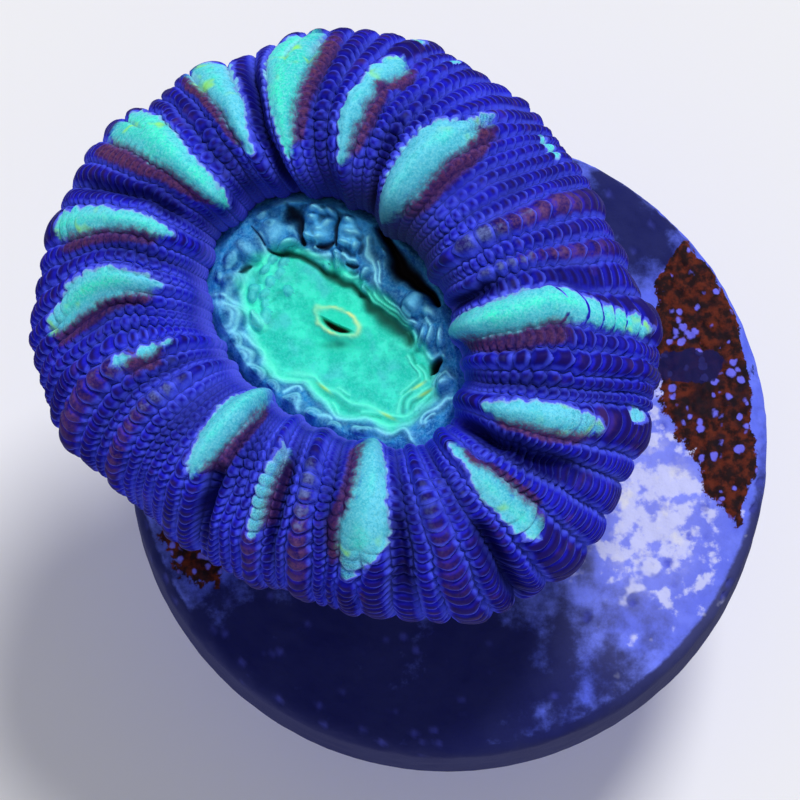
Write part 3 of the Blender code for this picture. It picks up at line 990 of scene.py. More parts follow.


# Share at which the floor gives way to the fringe, by heading
FRINGE_EDGE = [(0, 0.58), (12, 0.56), (32, 0.52), (50, 0.47), (70, 0.46), (98, 0.48), (108, 0.54),
               (116, 0.64), (128, 0.69), (139, 0.74), (149, 0.77), (157, 0.77), (175, 0.73), (190, 0.77),
               (205, 0.82), (218, 0.87), (228, 0.8), (238, 0.7), (250, 0.74), (262, 0.79), (272, 0.83),
               (281, 0.8), (287, 0.77), (296, 0.86), (304, 0.82), (311, 0.78), (322, 0.8), (338, 0.72),
               (350, 0.66)]
LOBES = [Lobe(*numbers) for numbers in (
    (124, 0.85, 0.62, 0.7, 0.75), (123.5, 1.0, 0.19, 0.17, 0.95, 1.0, 0.9),
    (123, 0.91, 0.24, 0.22, 0.95, 1.0, 0.9), (121, 0.7, 0.38, 0.2, 0.9), (116, 0.82, 0.2, 0.26, 0.55),
    (111, 1.03, 0.85, 0.22, 0.95), (100, 0.77, 0.55, 0.55, 0.75), (101, 0.96, 0.26, 0.24, 1.15),
    (97.5, 0.94, 0.13, 0.24, 1.1), (93, 0.94, 0.13, 0.28, 1.1), (103, 0.86, 0.2, 0.18, 1.1),
    (99, 0.8, 0.2, 0.12, 1.05), (95, 0.84, 0.13, 0.16, 1.05), (108, 0.75, 0.18, 0.2, 1.05),
    (101, 0.73, 0.4, 0.16, 0.95), (103, 0.5, 0.2, 0.1, 0.55), (91, 0.61, 0.17, 0.17, 0.9),
    (91, 0.52, 0.15, 0.2, 0.75), (82, 0.82, 0.5, 0.6, 0.8), (83, 0.92, 0.24, 0.22, 1.1),
    (77, 0.86, 0.2, 0.2, 1.05), (82, 0.81, 0.34, 0.16, 1.1), (84, 0.72, 0.27, 0.15, 1.05),
    (76, 0.74, 0.16, 0.2, 1.0), (60, 0.56, 0.18, 0.3, 0.8), (53, 0.44, 0.1, 0.2, 0.55),
    (56, 0.86, 0.17, 0.17, 1.0), (12, 0.78, 0.5, 0.46, 0.85), (4, 0.88, 0.36, 0.3, 0.85),
    (350, 0.9, 0.46, 0.14, 1.0), (349, 0.73, 0.42, 0.13, 0.8), (350, 0.81, 0.46, 0.15, 0.95),
    (329, 0.9, 0.34, 0.26, 0.95, 0.6, 0.0), (140, 0.88, 0.42, 0.6, 0.85),
    (149, 0.94, 0.34, 0.26, 0.85, 0.7, 0.3), (165, 0.93, 0.4, 0.34, 0.75, 0.7, 0.6),
    (157, 0.88, 0.46, 0.42, 0.95, 1.0, 0.9), (157, 0.97, 0.16, 0.14, 1.05, 0.8, 0.5),
    (176, 0.96, 0.62, 0.62, 0.8, 1.0, 0.7), (177, 0.71, 0.27, 0.2, 0.35), (173, 0.73, 0.18, 0.14, 0.4),
    (188, 0.99, 0.42, 0.42, 0.75, 0.9, 0.7), (199, 1.0, 0.5, 0.5, 0.8, 0.9, 0.5),
    (210, 1.0, 0.4, 0.42, 0.75, 0.9, 0.8), (224, 0.98, 0.36, 0.32, 0.75, 0.7, 0.4),
    (240, 0.98, 0.42, 0.36, 0.75, 0.8, 0.5), (254, 0.99, 0.34, 0.3, 0.75, 0.7, 0.4),
    (268, 1.0, 0.34, 0.3, 0.75, 0.8, 0.4), (161, 0.71, 0.3, 0.2, 0.26), (155, 0.7, 0.22, 0.18, 0.3),
    (134, 0.7, 0.28, 0.18, 0.28), (142, 0.69, 0.26, 0.17, 0.28), (156, 0.62, 0.28, 0.22, 0.24),
    (146, 0.61, 0.27, 0.2, 0.26), (130, 0.62, 0.3, 0.2, 0.26), (138, 0.58, 0.22, 0.2, 0.24),
    (172, 0.61, 0.28, 0.2, 0.22), (143, 0.45, 0.2, 0.24, 0.18), (163, 0.6, 0.2, 0.16, 0.2),
    (283, 0.93, 0.34, 0.28, 0.85, 1.0, 0.9),
)]
FOLDS = [
    Fold([(131, 0.92), (132, 0.82), (134, 0.76), (138, 0.73), (142, 0.75)], 0.2, 0.14, 0.3),
    Fold([(150, 0.88), (152, 0.8), (155, 0.77), (159, 0.77), (163, 0.82)], 0.2, 0.12, 0.3),
    Fold([(167, 1.12), (165, 0.88), (167, 0.82), (170, 0.77), (172, 0.71), (175, 0.67), (179, 0.65),
         (183, 0.7)], 0.24, 0.16, 0.4),
    Fold([(171, 1.12), (169, 0.9), (170, 0.82), (173, 0.77), (178, 0.75), (182, 0.77), (185, 0.83)],
         0.2, 0.13, 0.45),
    Fold([(183, 1.14), (182, 0.93), (184, 0.88), (190, 0.82), (196, 0.8), (203, 0.82), (209, 0.84),
         (216, 0.86), (222, 0.86), (228, 0.79), (233, 0.72), (240, 0.7), (247, 0.72), (253, 0.75),
         (258, 0.8), (263, 0.85), (270, 0.88), (277, 0.84), (282, 0.81), (286, 0.76), (289, 0.78),
         (293, 0.86), (298, 0.86), (304, 0.83), (308, 0.84)], 0.26, 0.15, 0.4),
    Fold([(219, 0.84), (224, 0.75), (229, 0.68), (238, 0.64), (249, 0.63), (261, 0.65), (271, 0.69),
         (279, 0.7), (285, 0.67), (291, 0.68), (296, 0.75), (302, 0.8), (308, 0.78), (313, 0.78),
         (319, 0.8), (325, 0.84)], 0.18, 0.12, 0.3),
    Fold([(231, 0.97), (233, 0.84), (237, 0.81), (242, 0.87)], 0.16, 0.1, 0.4),
    Fold([(245, 1.1), (245, 0.87)], 0.1, 0.12, 0.3),
    Fold([(256, 1.0), (262, 0.92), (268, 0.93)], 0.1, 0.12, 0.3),
    Fold([(262, 0.78), (268, 0.8), (272, 0.84)], 0.12, 0.07, 0.35),
    Fold([(263, 0.61), (272, 0.63), (280, 0.61)], 0.06, 0.08, 0.3),
    Fold([(283, 0.74), (288, 0.71), (292, 0.73), (296, 0.77)], 0.1, 0.07, 0.6),
    Fold([(286, 0.86), (291, 0.91), (295, 0.92), (299, 0.89), (302, 0.89), (303, 1.1)], 0.18, 0.11, 0.45),
    Fold([(309, 0.94), (309, 0.87), (312, 0.84), (316, 0.88), (321, 0.91), (325, 0.93), (328, 1.08)],
         0.2, 0.1, 0.5),
    Fold([(311, 0.95), (310, 0.91), (313, 0.88), (317, 0.92)], 0.14, 0.08, 0.5),
    Fold([(302, 0.78), (304, 0.73), (307, 0.68), (311, 0.66), (320, 0.68)], 0.12, 0.07, 0.5),
    Fold([(308, 0.66), (312, 0.62), (318, 0.64), (326, 0.71)], 0.1, 0.07, 0.4),
    Fold([(306, 0.76), (309, 0.72), (313, 0.71), (318, 0.74), (326, 0.79)], 0.12, 0.07, 0.55),
    Fold([(309, 0.8), (311, 0.76), (316, 0.77), (325, 0.83)], 0.1, 0.07, 0.5),
    Fold([(337, 0.57), (333, 0.6), (328, 0.65), (322, 0.71)], 0.24, 0.09, 0.45),
    Fold([(334, 0.65), (329, 0.69), (324, 0.76)], 0.22, 0.09, 0.45),
    Fold([(324, 0.79), (329, 0.82), (334, 0.87)], 0.22, 0.09, 0.5),
    Fold([(325, 0.85), (330, 0.85), (335, 0.89), (335, 0.94), (331, 0.97)], 0.2, 0.08, 0.3),
    Fold([(352, 0.56), (345, 0.58), (340, 0.62)], 0.3, 0.11, 0.5),
    Fold([(355, 0.64), (347, 0.66), (341, 0.69)], 0.3, 0.11, 0.5),
    Fold([(345, 0.72), (340, 0.76), (338, 0.83), (341, 0.9)], 0.26, 0.1, 0.4),
    Fold([(1, 0.81), (357, 0.8), (354, 0.84)], 0.26, 0.09, 0.5),
    Fold([(11, 0.66), (7, 0.67), (3, 0.71)], 0.24, 0.09, 0.5),
    Fold([(70, 0.93), (68, 0.8), (62, 0.7), (53, 0.62), (44, 0.56), (31, 0.54)], 0.3, 0.1, 0.5),
    Fold([(59, 0.73), (53, 0.69), (46, 0.62), (37, 0.58)], 0.2, 0.08, 0.5),
    Fold([(59, 0.46), (44, 0.41), (29, 0.41), (14, 0.47), (3, 0.57), (355, 0.65)], 0.14, 0.06, 0.7),
    Fold([(44, 0.49), (30, 0.46), (17, 0.52), (6, 0.61), (356, 0.69)], 0.14, 0.06, 0.7),
    Fold([(34, 0.55), (21, 0.57), (10, 0.62), (2, 0.66), (356, 0.73)], 0.14, 0.06, 0.7),
    Fold([(114, 0.66), (113, 0.61), (108, 0.58), (101, 0.58), (94, 0.62)], 0.26, 0.12, 0.5),
    Fold([(110, 0.66), (106, 0.65), (103, 0.67)], 0.14, 0.08, 0.5),
    Fold([(88, 0.65), (83, 0.62), (78, 0.6), (70, 0.66)], 0.26, 0.1, 0.8),
    Fold([(85, 0.47), (80, 0.44), (72, 0.45), (64, 0.51)], 0.24, 0.1, 0.7),
]
# Hollows painted with shade; the darkest, beside the mantle's north-east wall, is a painted shadow
HOLLOWS = [
    Hollow([(132, 0.78, 0.06), (129, 0.68, 0.07), (122, 0.63, 0.08), (115, 0.58, 0.1), (111, 0.47, 0.15),
         (97, 0.43, 0.16), (84, 0.38, 0.12), (64, 0.38, 0.12), (40, 0.36, 0.15), (18, 0.37, 0.22),
         (4, 0.45, 0.34), (355, 0.53, 0.32), (347, 0.59, 0.22), (342, 0.62, 0.1)], 0.25, 0.45),
    Hollow([(68, 1.0, 0.1), (58, 0.96, 0.16), (48, 0.9, 0.32), (38, 0.87, 0.46), (28, 0.91, 0.4),
         (18, 0.96, 0.2), (6, 1.0, 0.08)], 1.2, 1.0),
    Hollow([(114, 0.99, 0.1), (113, 0.93, 0.42), (112, 0.86, 0.26), (111.5, 0.78, 0.1), (114, 0.66, 0.05)],
         0.4, 0.55),
    Hollow([(131, 0.98, 0.03), (132, 0.88, 0.05), (132, 0.78, 0.06)], 0.15, 0.25),
    Hollow([(90, 0.92, 0.03), (90, 0.78, 0.06), (90, 0.66, 0.05)], 0.2, 0.6),
    Hollow([(107, 0.66, 0.04), (101, 0.655, 0.1), (96, 0.66, 0.12), (91, 0.7, 0.05)], 0.25, 0.7),
    Hollow([(84, 0.56, 0.04), (77, 0.555, 0.11), (70, 0.58, 0.06)], 0.25, 0.6),
    Hollow([(329, 0.76, 0.05), (333, 0.79, 0.16), (339, 0.84, 0.1)], 0.8, 0.8),
    Hollow([(151, 0.84, 0.05), (148, 0.81, 0.14), (145, 0.78, 0.05)], 0.12, 0.4),
]
# Yellow glints on the ruffles: heading, share, turn in degrees
GLINTS = [(256, 0.665, -38), (297, 0.765, -28), (320, 0.765, 28), (321, 0.7, 30)]
GLINT_SIZE = (0.28, 0.06)  # half sizes in mm
DISC_COLUMNS = 720
DISC_RINGS = 132
TUCK_RINGS = 6  # of those, under the mantle's rim
COARSE_SHARE = 0.6  # inside it the rings lie further apart
BLUR_SHARE = 0.4  # the fringe lies outside it
KNOB_AREA = 0.15  # product of the half sizes, under which a lobe is a light knob all over
DISC_FLOOR = 0.8  # mm above the polyp's widest section
DISC_TUCK = 0.55  # mm that the disc runs on under the mantle's rim
LOBE_RISE = 1.15  # mm, of a lobe whose height is 1
FOLD_RISE = 0.4  # of a fold's listed height
MOUTH_PLACE = (-0.16, -0.12)  # mm from the oral centre
MOUTH_TURN = radians(-27)
LIP_PLACE = 0.22  # mm, across the slit
LIP_SIZE = (0.93, 0.46)
SLIT_SIZE = (0.64, 0.13)
GLOW_SIZE = (1.3, 1.0)
LIP_SHADE = (-0.1, -0.78, 0.55, 0.2)  # middle and half sizes of the painted shade beside the lips, in mm


def disc_place(heading, share):
    """Millimetres from the oral centre."""
    reach = np.asarray(share) * polar_radius(RIM_RING, heading) / MM
    return np.stack([reach * np.cos(np.radians(heading)), reach * np.sin(np.radians(heading))], -1)


def curve_distance(x, y, points):
    """Distance in mm to a smoothed curve, positive on its outward side, and the way along it."""
    headings, shares = np.array(points, float).T[:2]
    line = disc_place(np.degrees(np.unwrap(np.radians(headings))), shares)
    last = len(line) - 1
    ways = np.linspace(0, last, 8 * len(line)) + np.linspace(-0.5, 0.5, 5)[:, None]
    ways = np.clip(ways, 0, last)
    dense = np.stack([np.interp(ways, range(last + 1), line[:, axis]).mean(0) for axis in (0, 1)], -1)
    best = np.full(x.shape, 99.0)
    along = np.zeros(x.shape)
    side = np.ones(x.shape)
    for number, (start, end) in enumerate(zip(dense[:-1], dense[1:])):
        span = end - start
        share = ((x - start[0]) * span[0] + (y - start[1]) * span[1]) / max(span @ span, 1e-9)
        share = np.clip(share, 0.0, 1.0)
        near_x, near_y = start[0] + share * span[0], start[1] + share * span[1]
        distance = np.hypot(x - near_x, y - near_y)
        closer = distance < best
        side = np.where(closer, np.hypot(x, y) - np.hypot(near_x, near_y), side)
        along = np.where(closer, (number + share) / (len(dense) - 1), along)
        best = np.minimum(best, distance)
    return best * np.sign(side), along


def ends_at(along, low, high):
    """1 along a curve, falling to 0 at both its ends."""
    return smooth(np.minimum(along, 1.0 - along), low, high)


class OralDisc:
    """The disc on a polar grid: its height in mm, and from 0 to 1 what is painted on it."""

    def __init__(self):
        heading = np.arange(DISC_COLUMNS) * 360.0 / DISC_COLUMNS
        rim = polar_radius(RIM_RING, heading) / MM
        inner = np.linspace(0.004, COARSE_SHARE, DISC_RINGS // 3, endpoint=False)
        outer = np.linspace(COARSE_SHARE, 1.0, DISC_RINGS - len(inner) - TUCK_RINGS)
        share = np.concatenate([inner, outer])
        tuck = 1.0 + np.arange(1, TUCK_RINGS + 1)[:, None] / TUCK_RINGS * DISC_TUCK / rim
        self.share = np.concatenate([np.broadcast_to(share[:, None], (len(share), DISC_COLUMNS)), tuck])
        self.angle = np.broadcast_to(heading, self.share.shape)
        self.flat = (self.share * rim)[..., None] * around(np.radians(self.angle))
        ripple = [lattice_noise(self.flat, 0.5, SEED + 45 + axis) for axis in range(3)]
        self.wavy = self.flat + 0.12 * np.stack(ripple, -1)
        self.shaded = smooth(60.0 - np.abs(wrapped(self.angle - 65)), -15.0, 15.0)
        self.height = np.full(self.share.shape, DISC_FLOOR)
        self.edge = np.zeros(self.share.shape)
        self.hollow = np.zeros(self.share.shape)
        self.shadows = np.zeros(self.share.shape)
        self.crests = np.zeros(self.share.shape)
        self.halo = np.zeros(self.share.shape)
        self.pit = np.zeros(self.share.shape)

    def lay_floor(self):
        """The flat middle, the knobs at its north west with painted highlights on their tops and painted
        shade between them, and the belt that the fringe stands on.
        """
        fringe_headings, fringe_shares = np.array(FRINGE_EDGE).T
        fringe = np.interp(self.angle, fringe_headings, fringe_shares, period=360.0)
        self.past = self.share - fringe + 0.02 * layered_noise(self.flat, 0.6, SEED + 41, 2)
        belt = smooth(self.past, -0.02, 0.1)
        self.tone = belt.copy()
        self.height += 0.05 * layered_noise(self.flat, 0.9, SEED + 40)
        self.height += belt * (0.22 + 0.9 * np.clip(self.past, 0.0, 0.5))
        self.height += 0.12 * smooth(self.share, 0.8, 1.0) * (1.0 - self.shaded)
        north_west = near(self.angle, 150, 26) * bump(self.share - 0.62, 0.13)
        lumps = dome(cell_knobs(self.wavy, 0.42, SEED + 42)[0] / 0.72)
        self.height += 0.1 * north_west * lumps
        self.height += 0.05 * belt * layered_noise(self.wavy, 0.4, SEED + 43, 2)
        # Painted shade between the knobs, and painted highlights on their tops
        self.hollow = 0.4 * north_west * (1.0 - smooth(lumps, 0.0, 0.45))
        brink = bump(self.past - 0.03, 0.035) * smooth(np.abs(wrapped(self.angle - 55)), 62, 85)
        self.edge = np.maximum(0.5 * north_west * smooth(lumps, 0.55, 0.9), 0.8 * brink)

    def add_lobes(self):
        rims = np.zeros(self.share.shape)
        foot_tone = 0.35 + 0.65 * smooth(self.past, 0.0, 0.2)
        for lobe in LOBES:
            reach = float(np.hypot(*disc_place(lobe.heading, lobe.share)))
            out, side = turned(self.wavy[..., 0], self.wavy[..., 1], radians(lobe.heading))
            out = (out - reach) / lobe.outwards
            away = np.hypot(out, side / lobe.sideways)
            rounded = np.clip(1.0 - away**2.2, 0.0, 1.0) ** 0.7
            foot = 0.5 if lobe.rings else 0.3
            top = DISC_FLOOR + LOBE_RISE * lobe.height * (foot + (1.0 - foot) * rounded)
            inside = (top > self.height) & (rounded > 0.0)
            # Painted highlights: light rings on the lobe's mouthward side and its lighter crown; painted
            # shade: its dark middle and its foot, darker in the shaded north
            inner_side = 0.12 + 0.88 * smooth(-out, -0.35, 0.35)
            rim = lobe.rings * inner_side * np.maximum(bump(away - 0.82, 0.17), 0.8 * bump(away - 0.5, 0.14))
            knob = lobe.sideways * lobe.outwards < KNOB_AREA
            crown_highlight = (0.0 if lobe.eye else 1.0 if knob else 0.5) * min(1.0, 0.2 + lobe.height)
            crown_highlight = crown_highlight * (0.8 - 0.2 * np.clip(out, -1.0, 1.0)) * (1.0 - smooth(away, 0.35, 0.95))
            foot_shade = smooth(away, 0.85, 1.0) * (0.25 + 0.45 * self.shaded)
            dark = np.maximum(0.75 * lobe.eye * bump(away, 0.45), foot_shade)
            self.height = np.where(inside, top, self.height)
            self.edge = np.where(inside, crown_highlight, self.edge)
            self.hollow = np.where(inside, dark, self.hollow)
            self.tone = np.where(inside, np.maximum(self.tone, foot_tone), self.tone)
            rims = np.where(inside, rim, rims)
        fringe = self.share > BLUR_SHARE
        self.height = np.where(fringe, blurred(self.height, 3, 4), self.height)
        self.edge = np.where(fringe, blurred(self.edge, 1, 2), self.edge)
        self.height += 0.045 * self.tone * layered_noise(self.wavy, 0.3, SEED + 48, 2)
        self.crests = blurred(rims, 1, 1)

    def add_folds(self):
        for fold in FOLDS:
            distance, along = curve_distance(self.wavy[..., 0], self.wavy[..., 1], fold.points)
            taper = ends_at(along, -0.02, 0.14)
            # Painted highlight on the crest and a lighter halo beside it; painted shadow beyond it
            crest = taper * bump(distance, 0.8 * fold.width)
            beyond = fold.shadow * taper * bump(distance - 1.8 * fold.width, fold.width)
            self.height += FOLD_RISE * fold.height * (crest - 0.5 * beyond)
            self.crests = np.maximum(self.crests, crest)
            self.halo = np.maximum(self.halo, taper * bump(distance, 1.8 * fold.width))
            self.shadows = np.maximum(self.shadows, beyond)

    def cut_hollows(self):
        for place in HOLLOWS:
            distance, along = curve_distance(self.wavy[..., 0], self.wavy[..., 1], place.points)
            widths = [point[2] for point in place.points]
            width = np.interp(along, np.linspace(0, 1, len(widths)), widths)
            inside = bump(distance, width) * ends_at(along, -0.05, 0.05)
            # Painted shadow, nearly black in the middle of a hollow
            black = place.black * (1.0 - smooth(np.abs(distance), 0.3 * width, 1.5 * width))
            self.height -= place.depth * inside
            self.shadows = np.maximum(self.shadows, inside)
            self.pit = np.maximum(self.pit, black)
            self.crests *= 1.0 - inside
        # Painted highlights, put out by the painted shadows except on the crests
        self.edge = np.maximum(self.edge, 0.4 * self.halo) * (1.0 - self.shadows)
        self.edge = np.maximum(self.edge, self.crests)

    def open_mouth(self):
        x, y = self.flat[..., 0], self.flat[..., 1]
        u, v = turned(x - MOUTH_PLACE[0], y - MOUTH_PLACE[1], MOUTH_TURN)
        ring_place = np.hypot(u / LIP_SIZE[0], (v - LIP_PLACE) / LIP_SIZE[1])
        ring_place += 0.1 * layered_noise(self.flat, 0.3, SEED + 44, 2)
        lip_turn = np.degrees(np.arctan2(v - LIP_PLACE, u))
        lit = 0.1 + 0.9 * np.maximum(near(lip_turn, 75, 75), near(lip_turn, -115, 40))
        broken = smooth(lattice_noise(self.flat, 0.25, SEED + 47), -1.4, 0.3)
        slit = np.hypot(u / SLIT_SIZE[0], (v + 0.07 * np.cos(3.0 * u) - 0.05) / SLIT_SIZE[1])
        self.height += 0.2 * (1 - smooth(ring_place, 0.8, 1.9)) + 0.06 * bump(ring_place - 1.0, 0.14)
        self.height -= 0.5 * (1 - smooth(slit, 0.3, 1.3))
        self.lip = lit * bump(ring_place - 1.0, 0.13) * broken
        self.slit = 1 - smooth(slit, 0.6, 1.15)
        self.glow = bump(np.hypot(u / GLOW_SIZE[0], v / GLOW_SIZE[1]), 1.0)
        self.glint = np.zeros(x.shape)
        for heading, share, turn in GLINTS:
            place_x, place_y = disc_place(heading, share)
            run, off = turned(x - place_x, y - place_y, radians(turn))
            glint = bump(np.hypot(run / GLINT_SIZE[0], off / GLINT_SIZE[1]), 1.0)
            self.glint = np.maximum(self.glint, glint)
        # Painted shade beside the lips
        beside = np.hypot((x - LIP_SHADE[0]) / LIP_SHADE[2], (y - LIP_SHADE[1]) / LIP_SHADE[3])
        self.shadows = np.maximum(self.shadows, 0.7 * bump(beside, 1.0))

    def shade(self):
        """Painted light on what stands up from its surroundings, and painted shade in what lies below them.
        """
        self.height = np.where(self.share > 1.0, self.height - 4.0 * (self.share - 1.0), self.height)
        lift = blurred(self.height, 4, 7) - self.height
        broad_lift = blurred(self.height, 9, 18) - blurred(self.height, 2, 3)
        in_belt = 0.2 + 0.8 * self.tone
        light = smooth(-lift / 0.1) * in_belt * (1.0 - smooth(self.share, 0.9, 0.97))
        self.edge = np.maximum(self.edge, 0.4 * light * (1.0 - self.hollow)) * (1.0 - self.pit)
        valley = smooth(lift / 0.1) * (0.3 + 0.3 * self.shaded)
        valley += smooth(broad_lift / 0.22) * (0.1 + 0.2 * self.shaded)
        # Painted shade over the floor and the belt in the north east
        floor_shade = (1.0 - smooth(self.share, 0.62, 0.78)) * smooth(self.share, 0.36, 0.46)
        dusk = 0.6 * near(self.angle, 20, 32) * floor_shade
        dusk += 0.5 * near(self.angle, 42, 30) * smooth(self.share, 0.6, 0.8)
        dark = np.maximum(np.maximum(self.hollow, valley * in_belt), dusk) * (1.0 - 0.85 * self.crests)
        self.hollow = np.clip(np.maximum(dark, self.shadows * (1.0 - 0.9 * self.crests)), 0.0, 1.0)
        # Painted light: lighter on the high parts of the fringe in the shaded north
        high = smooth(self.height, DISC_FLOOR + 0.3, DISC_FLOOR + 0.9)
        self.painted_light = self.shaded * self.tone * high


def make_oral_disc(material):
    disc = OralDisc()
    disc.lay_floor()
    disc.add_lobes()
    disc.add_folds()
    disc.cut_hollows()
    disc.open_mouth()
    disc.shade()
    painted = ("edge", "hollow", "tone", "painted_light", "pit", "glint", "glow", "lip", "slit")
    points = placed((disc.flat + disc.height[..., None] * UP) * MM + (*ORAL_CENTRE, 0.0))
    fields = {name: getattr(disc, name) for name in painted}
    return make_mesh("coral_oral_disc", points, material, fields, caps=1)


def oral_material():
    shader = Shader("oral_flesh", 0.75, 0.08)
    tone = shader.attribute("tone")
    fine = shader.noise(0.11 * MM, 3, 0.7)
    speck = shader.step(fine, 0.4, 0.66)
    broad = shader.step(shader.noise(0.8 * MM, 3, 0.6), 0.36, 0.64)
    floor = shader.mix(broad, srgb(34, 208, 182), srgb(66, 246, 212))
    patches = shader.step(shader.noise(1.1 * MM, 2), 0.54, 0.7, 0.0, 0.6)
    floor = shader.mix(patches, floor, srgb(78, 200, 212))
    dapple = shader.step(shader.noise(0.36 * MM, 3, 0.65), 0.46, 0.66, 0.0, 0.5)
    floor = shader.mix(dapple, floor, srgb(30, 184, 168))
    floor = shader.mix(speck * 0.35, floor, srgb(92, 240, 224))
    floor = shader.mix(shader.attribute("glow") * 0.6, floor, srgb(40, 246, 196))
    deep = shader.step(shader.noise(0.5 * MM, 3, 0.6), 0.36, 0.62)
    belt = shader.mix(deep, srgb(14, 94, 168), srgb(36, 138, 204))
    belt = shader.mix(speck * 0.5, belt, srgb(100, 184, 240))
    cloud = shader.step(shader.noise(0.3 * MM, 3, 0.65), 0.5, 0.68, 0.0, 0.4)
    belt = shader.mix(cloud, belt, srgb(92, 178, 228))
    # Painted light on the high parts of the fringe in the shaded north
    belt = shader.mix(shader.attribute("painted_light") * 0.6, belt, srgb(72, 186, 250))
    colour = shader.mix(tone, floor, belt)
    # Painted highlights on crowns, crests and rings
    edge = shader.mix(tone, srgb(100, 255, 222), srgb(140, 234, 255))
    felt = shader.step(fine, 0.25, 0.6, 0.72, 1.0)
    colour = shader.mix(shader.attribute("edge") * felt, colour, edge)
    colour = shader.mix(shader.attribute("glint") * 0.8, colour, srgb(196, 250, 122))
    # Painted shade in the hollows, and painted shadow, nearly black, in the deepest
    dark = shader.mix(tone, srgb(6, 84, 70), srgb(10, 32, 66))
    colour = shader.mix(shader.attribute("hollow") * 0.92, colour, dark)
    colour = shader.mix(shader.attribute("pit"), colour, srgb(20, 12, 16))
    colour = shader.mix(shader.attribute("lip"), colour, srgb(232, 252, 158))
    throat = shader.mix(speck, srgb(16, 46, 24), srgb(70, 44, 26))
    colour = shader.mix(shader.attribute("slit"), colour, throat)
    return shader.finish(colour, fine, 0.03 * MM, 0.4)


# ---------------------------------------------------------------------------
# Stem: bare skeleton under the flesh, cut off flat at its foot
# ---------------------------------------------------------------------------
STEM_FOOT_RADIUS = 5.6 * MM
STEM_WAIST_RADIUS = 5.0 * MM
STEM_TOP_RADIUS = 5.2 * MM
STEM_TOP_DEPTH = UNDERSIDE_DEPTH + 0.6 * MM  # inside the flesh
STEM_FOOT_EDGE = 0.1 * MM
STEM_COLUMNS = 400
STEM_RINGS = 72
COSTA_COUNT = 40


def make_stem(material):
    angle = np.arange(STEM_COLUMNS) * 2 * pi / STEM_COLUMNS
    height = np.linspace(-STEM_TOP_DEPTH, -STEM_LENGTH, STEM_RINGS)
    middle = (-STEM_LENGTH - NECK_DEPTH) / 2
    radii = [STEM_FOOT_RADIUS, STEM_WAIST_RADIUS, STEM_TOP_RADIUS]
    radius = np.interp(height, [-STEM_LENGTH, middle, -NECK_DEPTH], radii)
    outwards = around(angle)
    surface = outwards * radius[:, None, None] + height[:, None, None] * UP
    sway = 0.12 * lattice_noise(surface, 1.6 * MM, SEED + 60)
    wave = np.cos(COSTA_COUNT * angle + 3 * sway)
    costa = np.where(np.cos(COSTA_COUNT / 2 * angle) > 0, 1.0, 0.7) * (0.5 + 0.5 * wave) ** 0.8
    grain = dome(cell_knobs(surface, 0.34 * MM, SEED + 61)[0] / 0.8)
    raised = -0.3 + 0.2 * costa + 0.1 * grain * costa + 0.05 * layered_noise(surface, 0.8 * MM, SEED + 62)
    surface = surface + outwards * (raised * MM)[..., None]
    surface[-1] = surface[-2] * (0.985, 0.985, 0) - STEM_LENGTH * UP
    surface[-2] = surface[-2] * (1, 1, 0) + (STEM_FOOT_EDGE - STEM_LENGTH) * UP
    return make_mesh("coral_stem", placed(surface), material, {"costa": costa}, caps=2)


def skeleton_material():
    shader = Shader("skeleton", 0.85, 0.2)
    colour = shader.mix(shader.noise(2.2 * MM, 4, 0.6), srgb(196, 188, 186), srgb(224, 218, 212))
    crust = shader.step(shader.noise(1.7 * MM, 4, 0.65), 0.52, 0.62)
    colour = shader.mix(crust * 0.75, colour, srgb(150, 96, 128))
    algae = shader.step(shader.noise(1.1 * MM, 4, 0.6), 0.58, 0.68)
    colour = shader.mix(algae * 0.6, colour, srgb(92, 92, 62))
    between = shader.step(shader.attribute("costa"), 0.0, 0.5, 0.65, 0.0)
    colour = shader.mix(between, colour, srgb(96, 84, 88))
    return shader.finish(colour, shader.noise(0.12 * MM, 3, 0.7), 0.04 * MM, 0.7)


# ---------------------------------------------------------------------------
# Glue: a collar of set gel round the stem's foot
# ---------------------------------------------------------------------------
GLUE_COLUMNS = 240
GLUE_RINGS = 26
GLUE_INNER_RADIUS = 5.3 * MM
GLUE_SINK = 0.25 * MM  # of its lower edge, under the plug's top


def make_glue(material):
    angle = np.arange(GLUE_COLUMNS) * 2 * pi / GLUE_COLUMNS
    share = np.linspace(0.0, 1.0, GLUE_RINGS)[:, None]
    outwards = around(angle)
    lumps = layered_noise(outwards * 3.0, 1.1, SEED + 70)
    outer = GLUE_RADIUS - 0.35 * MM + 0.3 * MM * np.clip(lumps, -1, 1)
    radius = GLUE_INNER_RADIUS + (outer - GLUE_INNER_RADIUS) * share
    full = np.sqrt(np.clip(1.0 - share**2.2, 0.0, 1.0))
    height = full * (1.35 + 0.2 * lattice_noise(outwards * 3.0, 0.7, SEED + 73)) * MM
    points = outwards * radius[..., None] + height[..., None] * UP
    dents = 0.07 * MM * layered_noise(points, 1.0 * MM, SEED + 74) * full
    points += dents[..., None] * UP + (*STEM_BASE[:2], GLUE_LOW[2])
    points[-1, :, 2] = PLUG_TOP - GLUE_SINK
    return make_mesh("glue_collar_gel", points, material, {}, caps=2)


def glue_material():
    shader = Shader("glue", 0.28, 0.5, Coat_Weight=0.3)
    colour = shader.mix(shader.noise(1.2 * MM, 4, 0.6), srgb(176, 174, 196), srgb(212, 210, 226))
    bubbles = shader.step(shader.spots(0.5 * MM), 0.12, 0.2, 0.5, 0.0)
    colour = shader.mix(bubbles, colour, srgb(236, 236, 244))
    return shader.finish(colour, shader.noise(0.5 * MM), 0.06 * MM, 0.5)


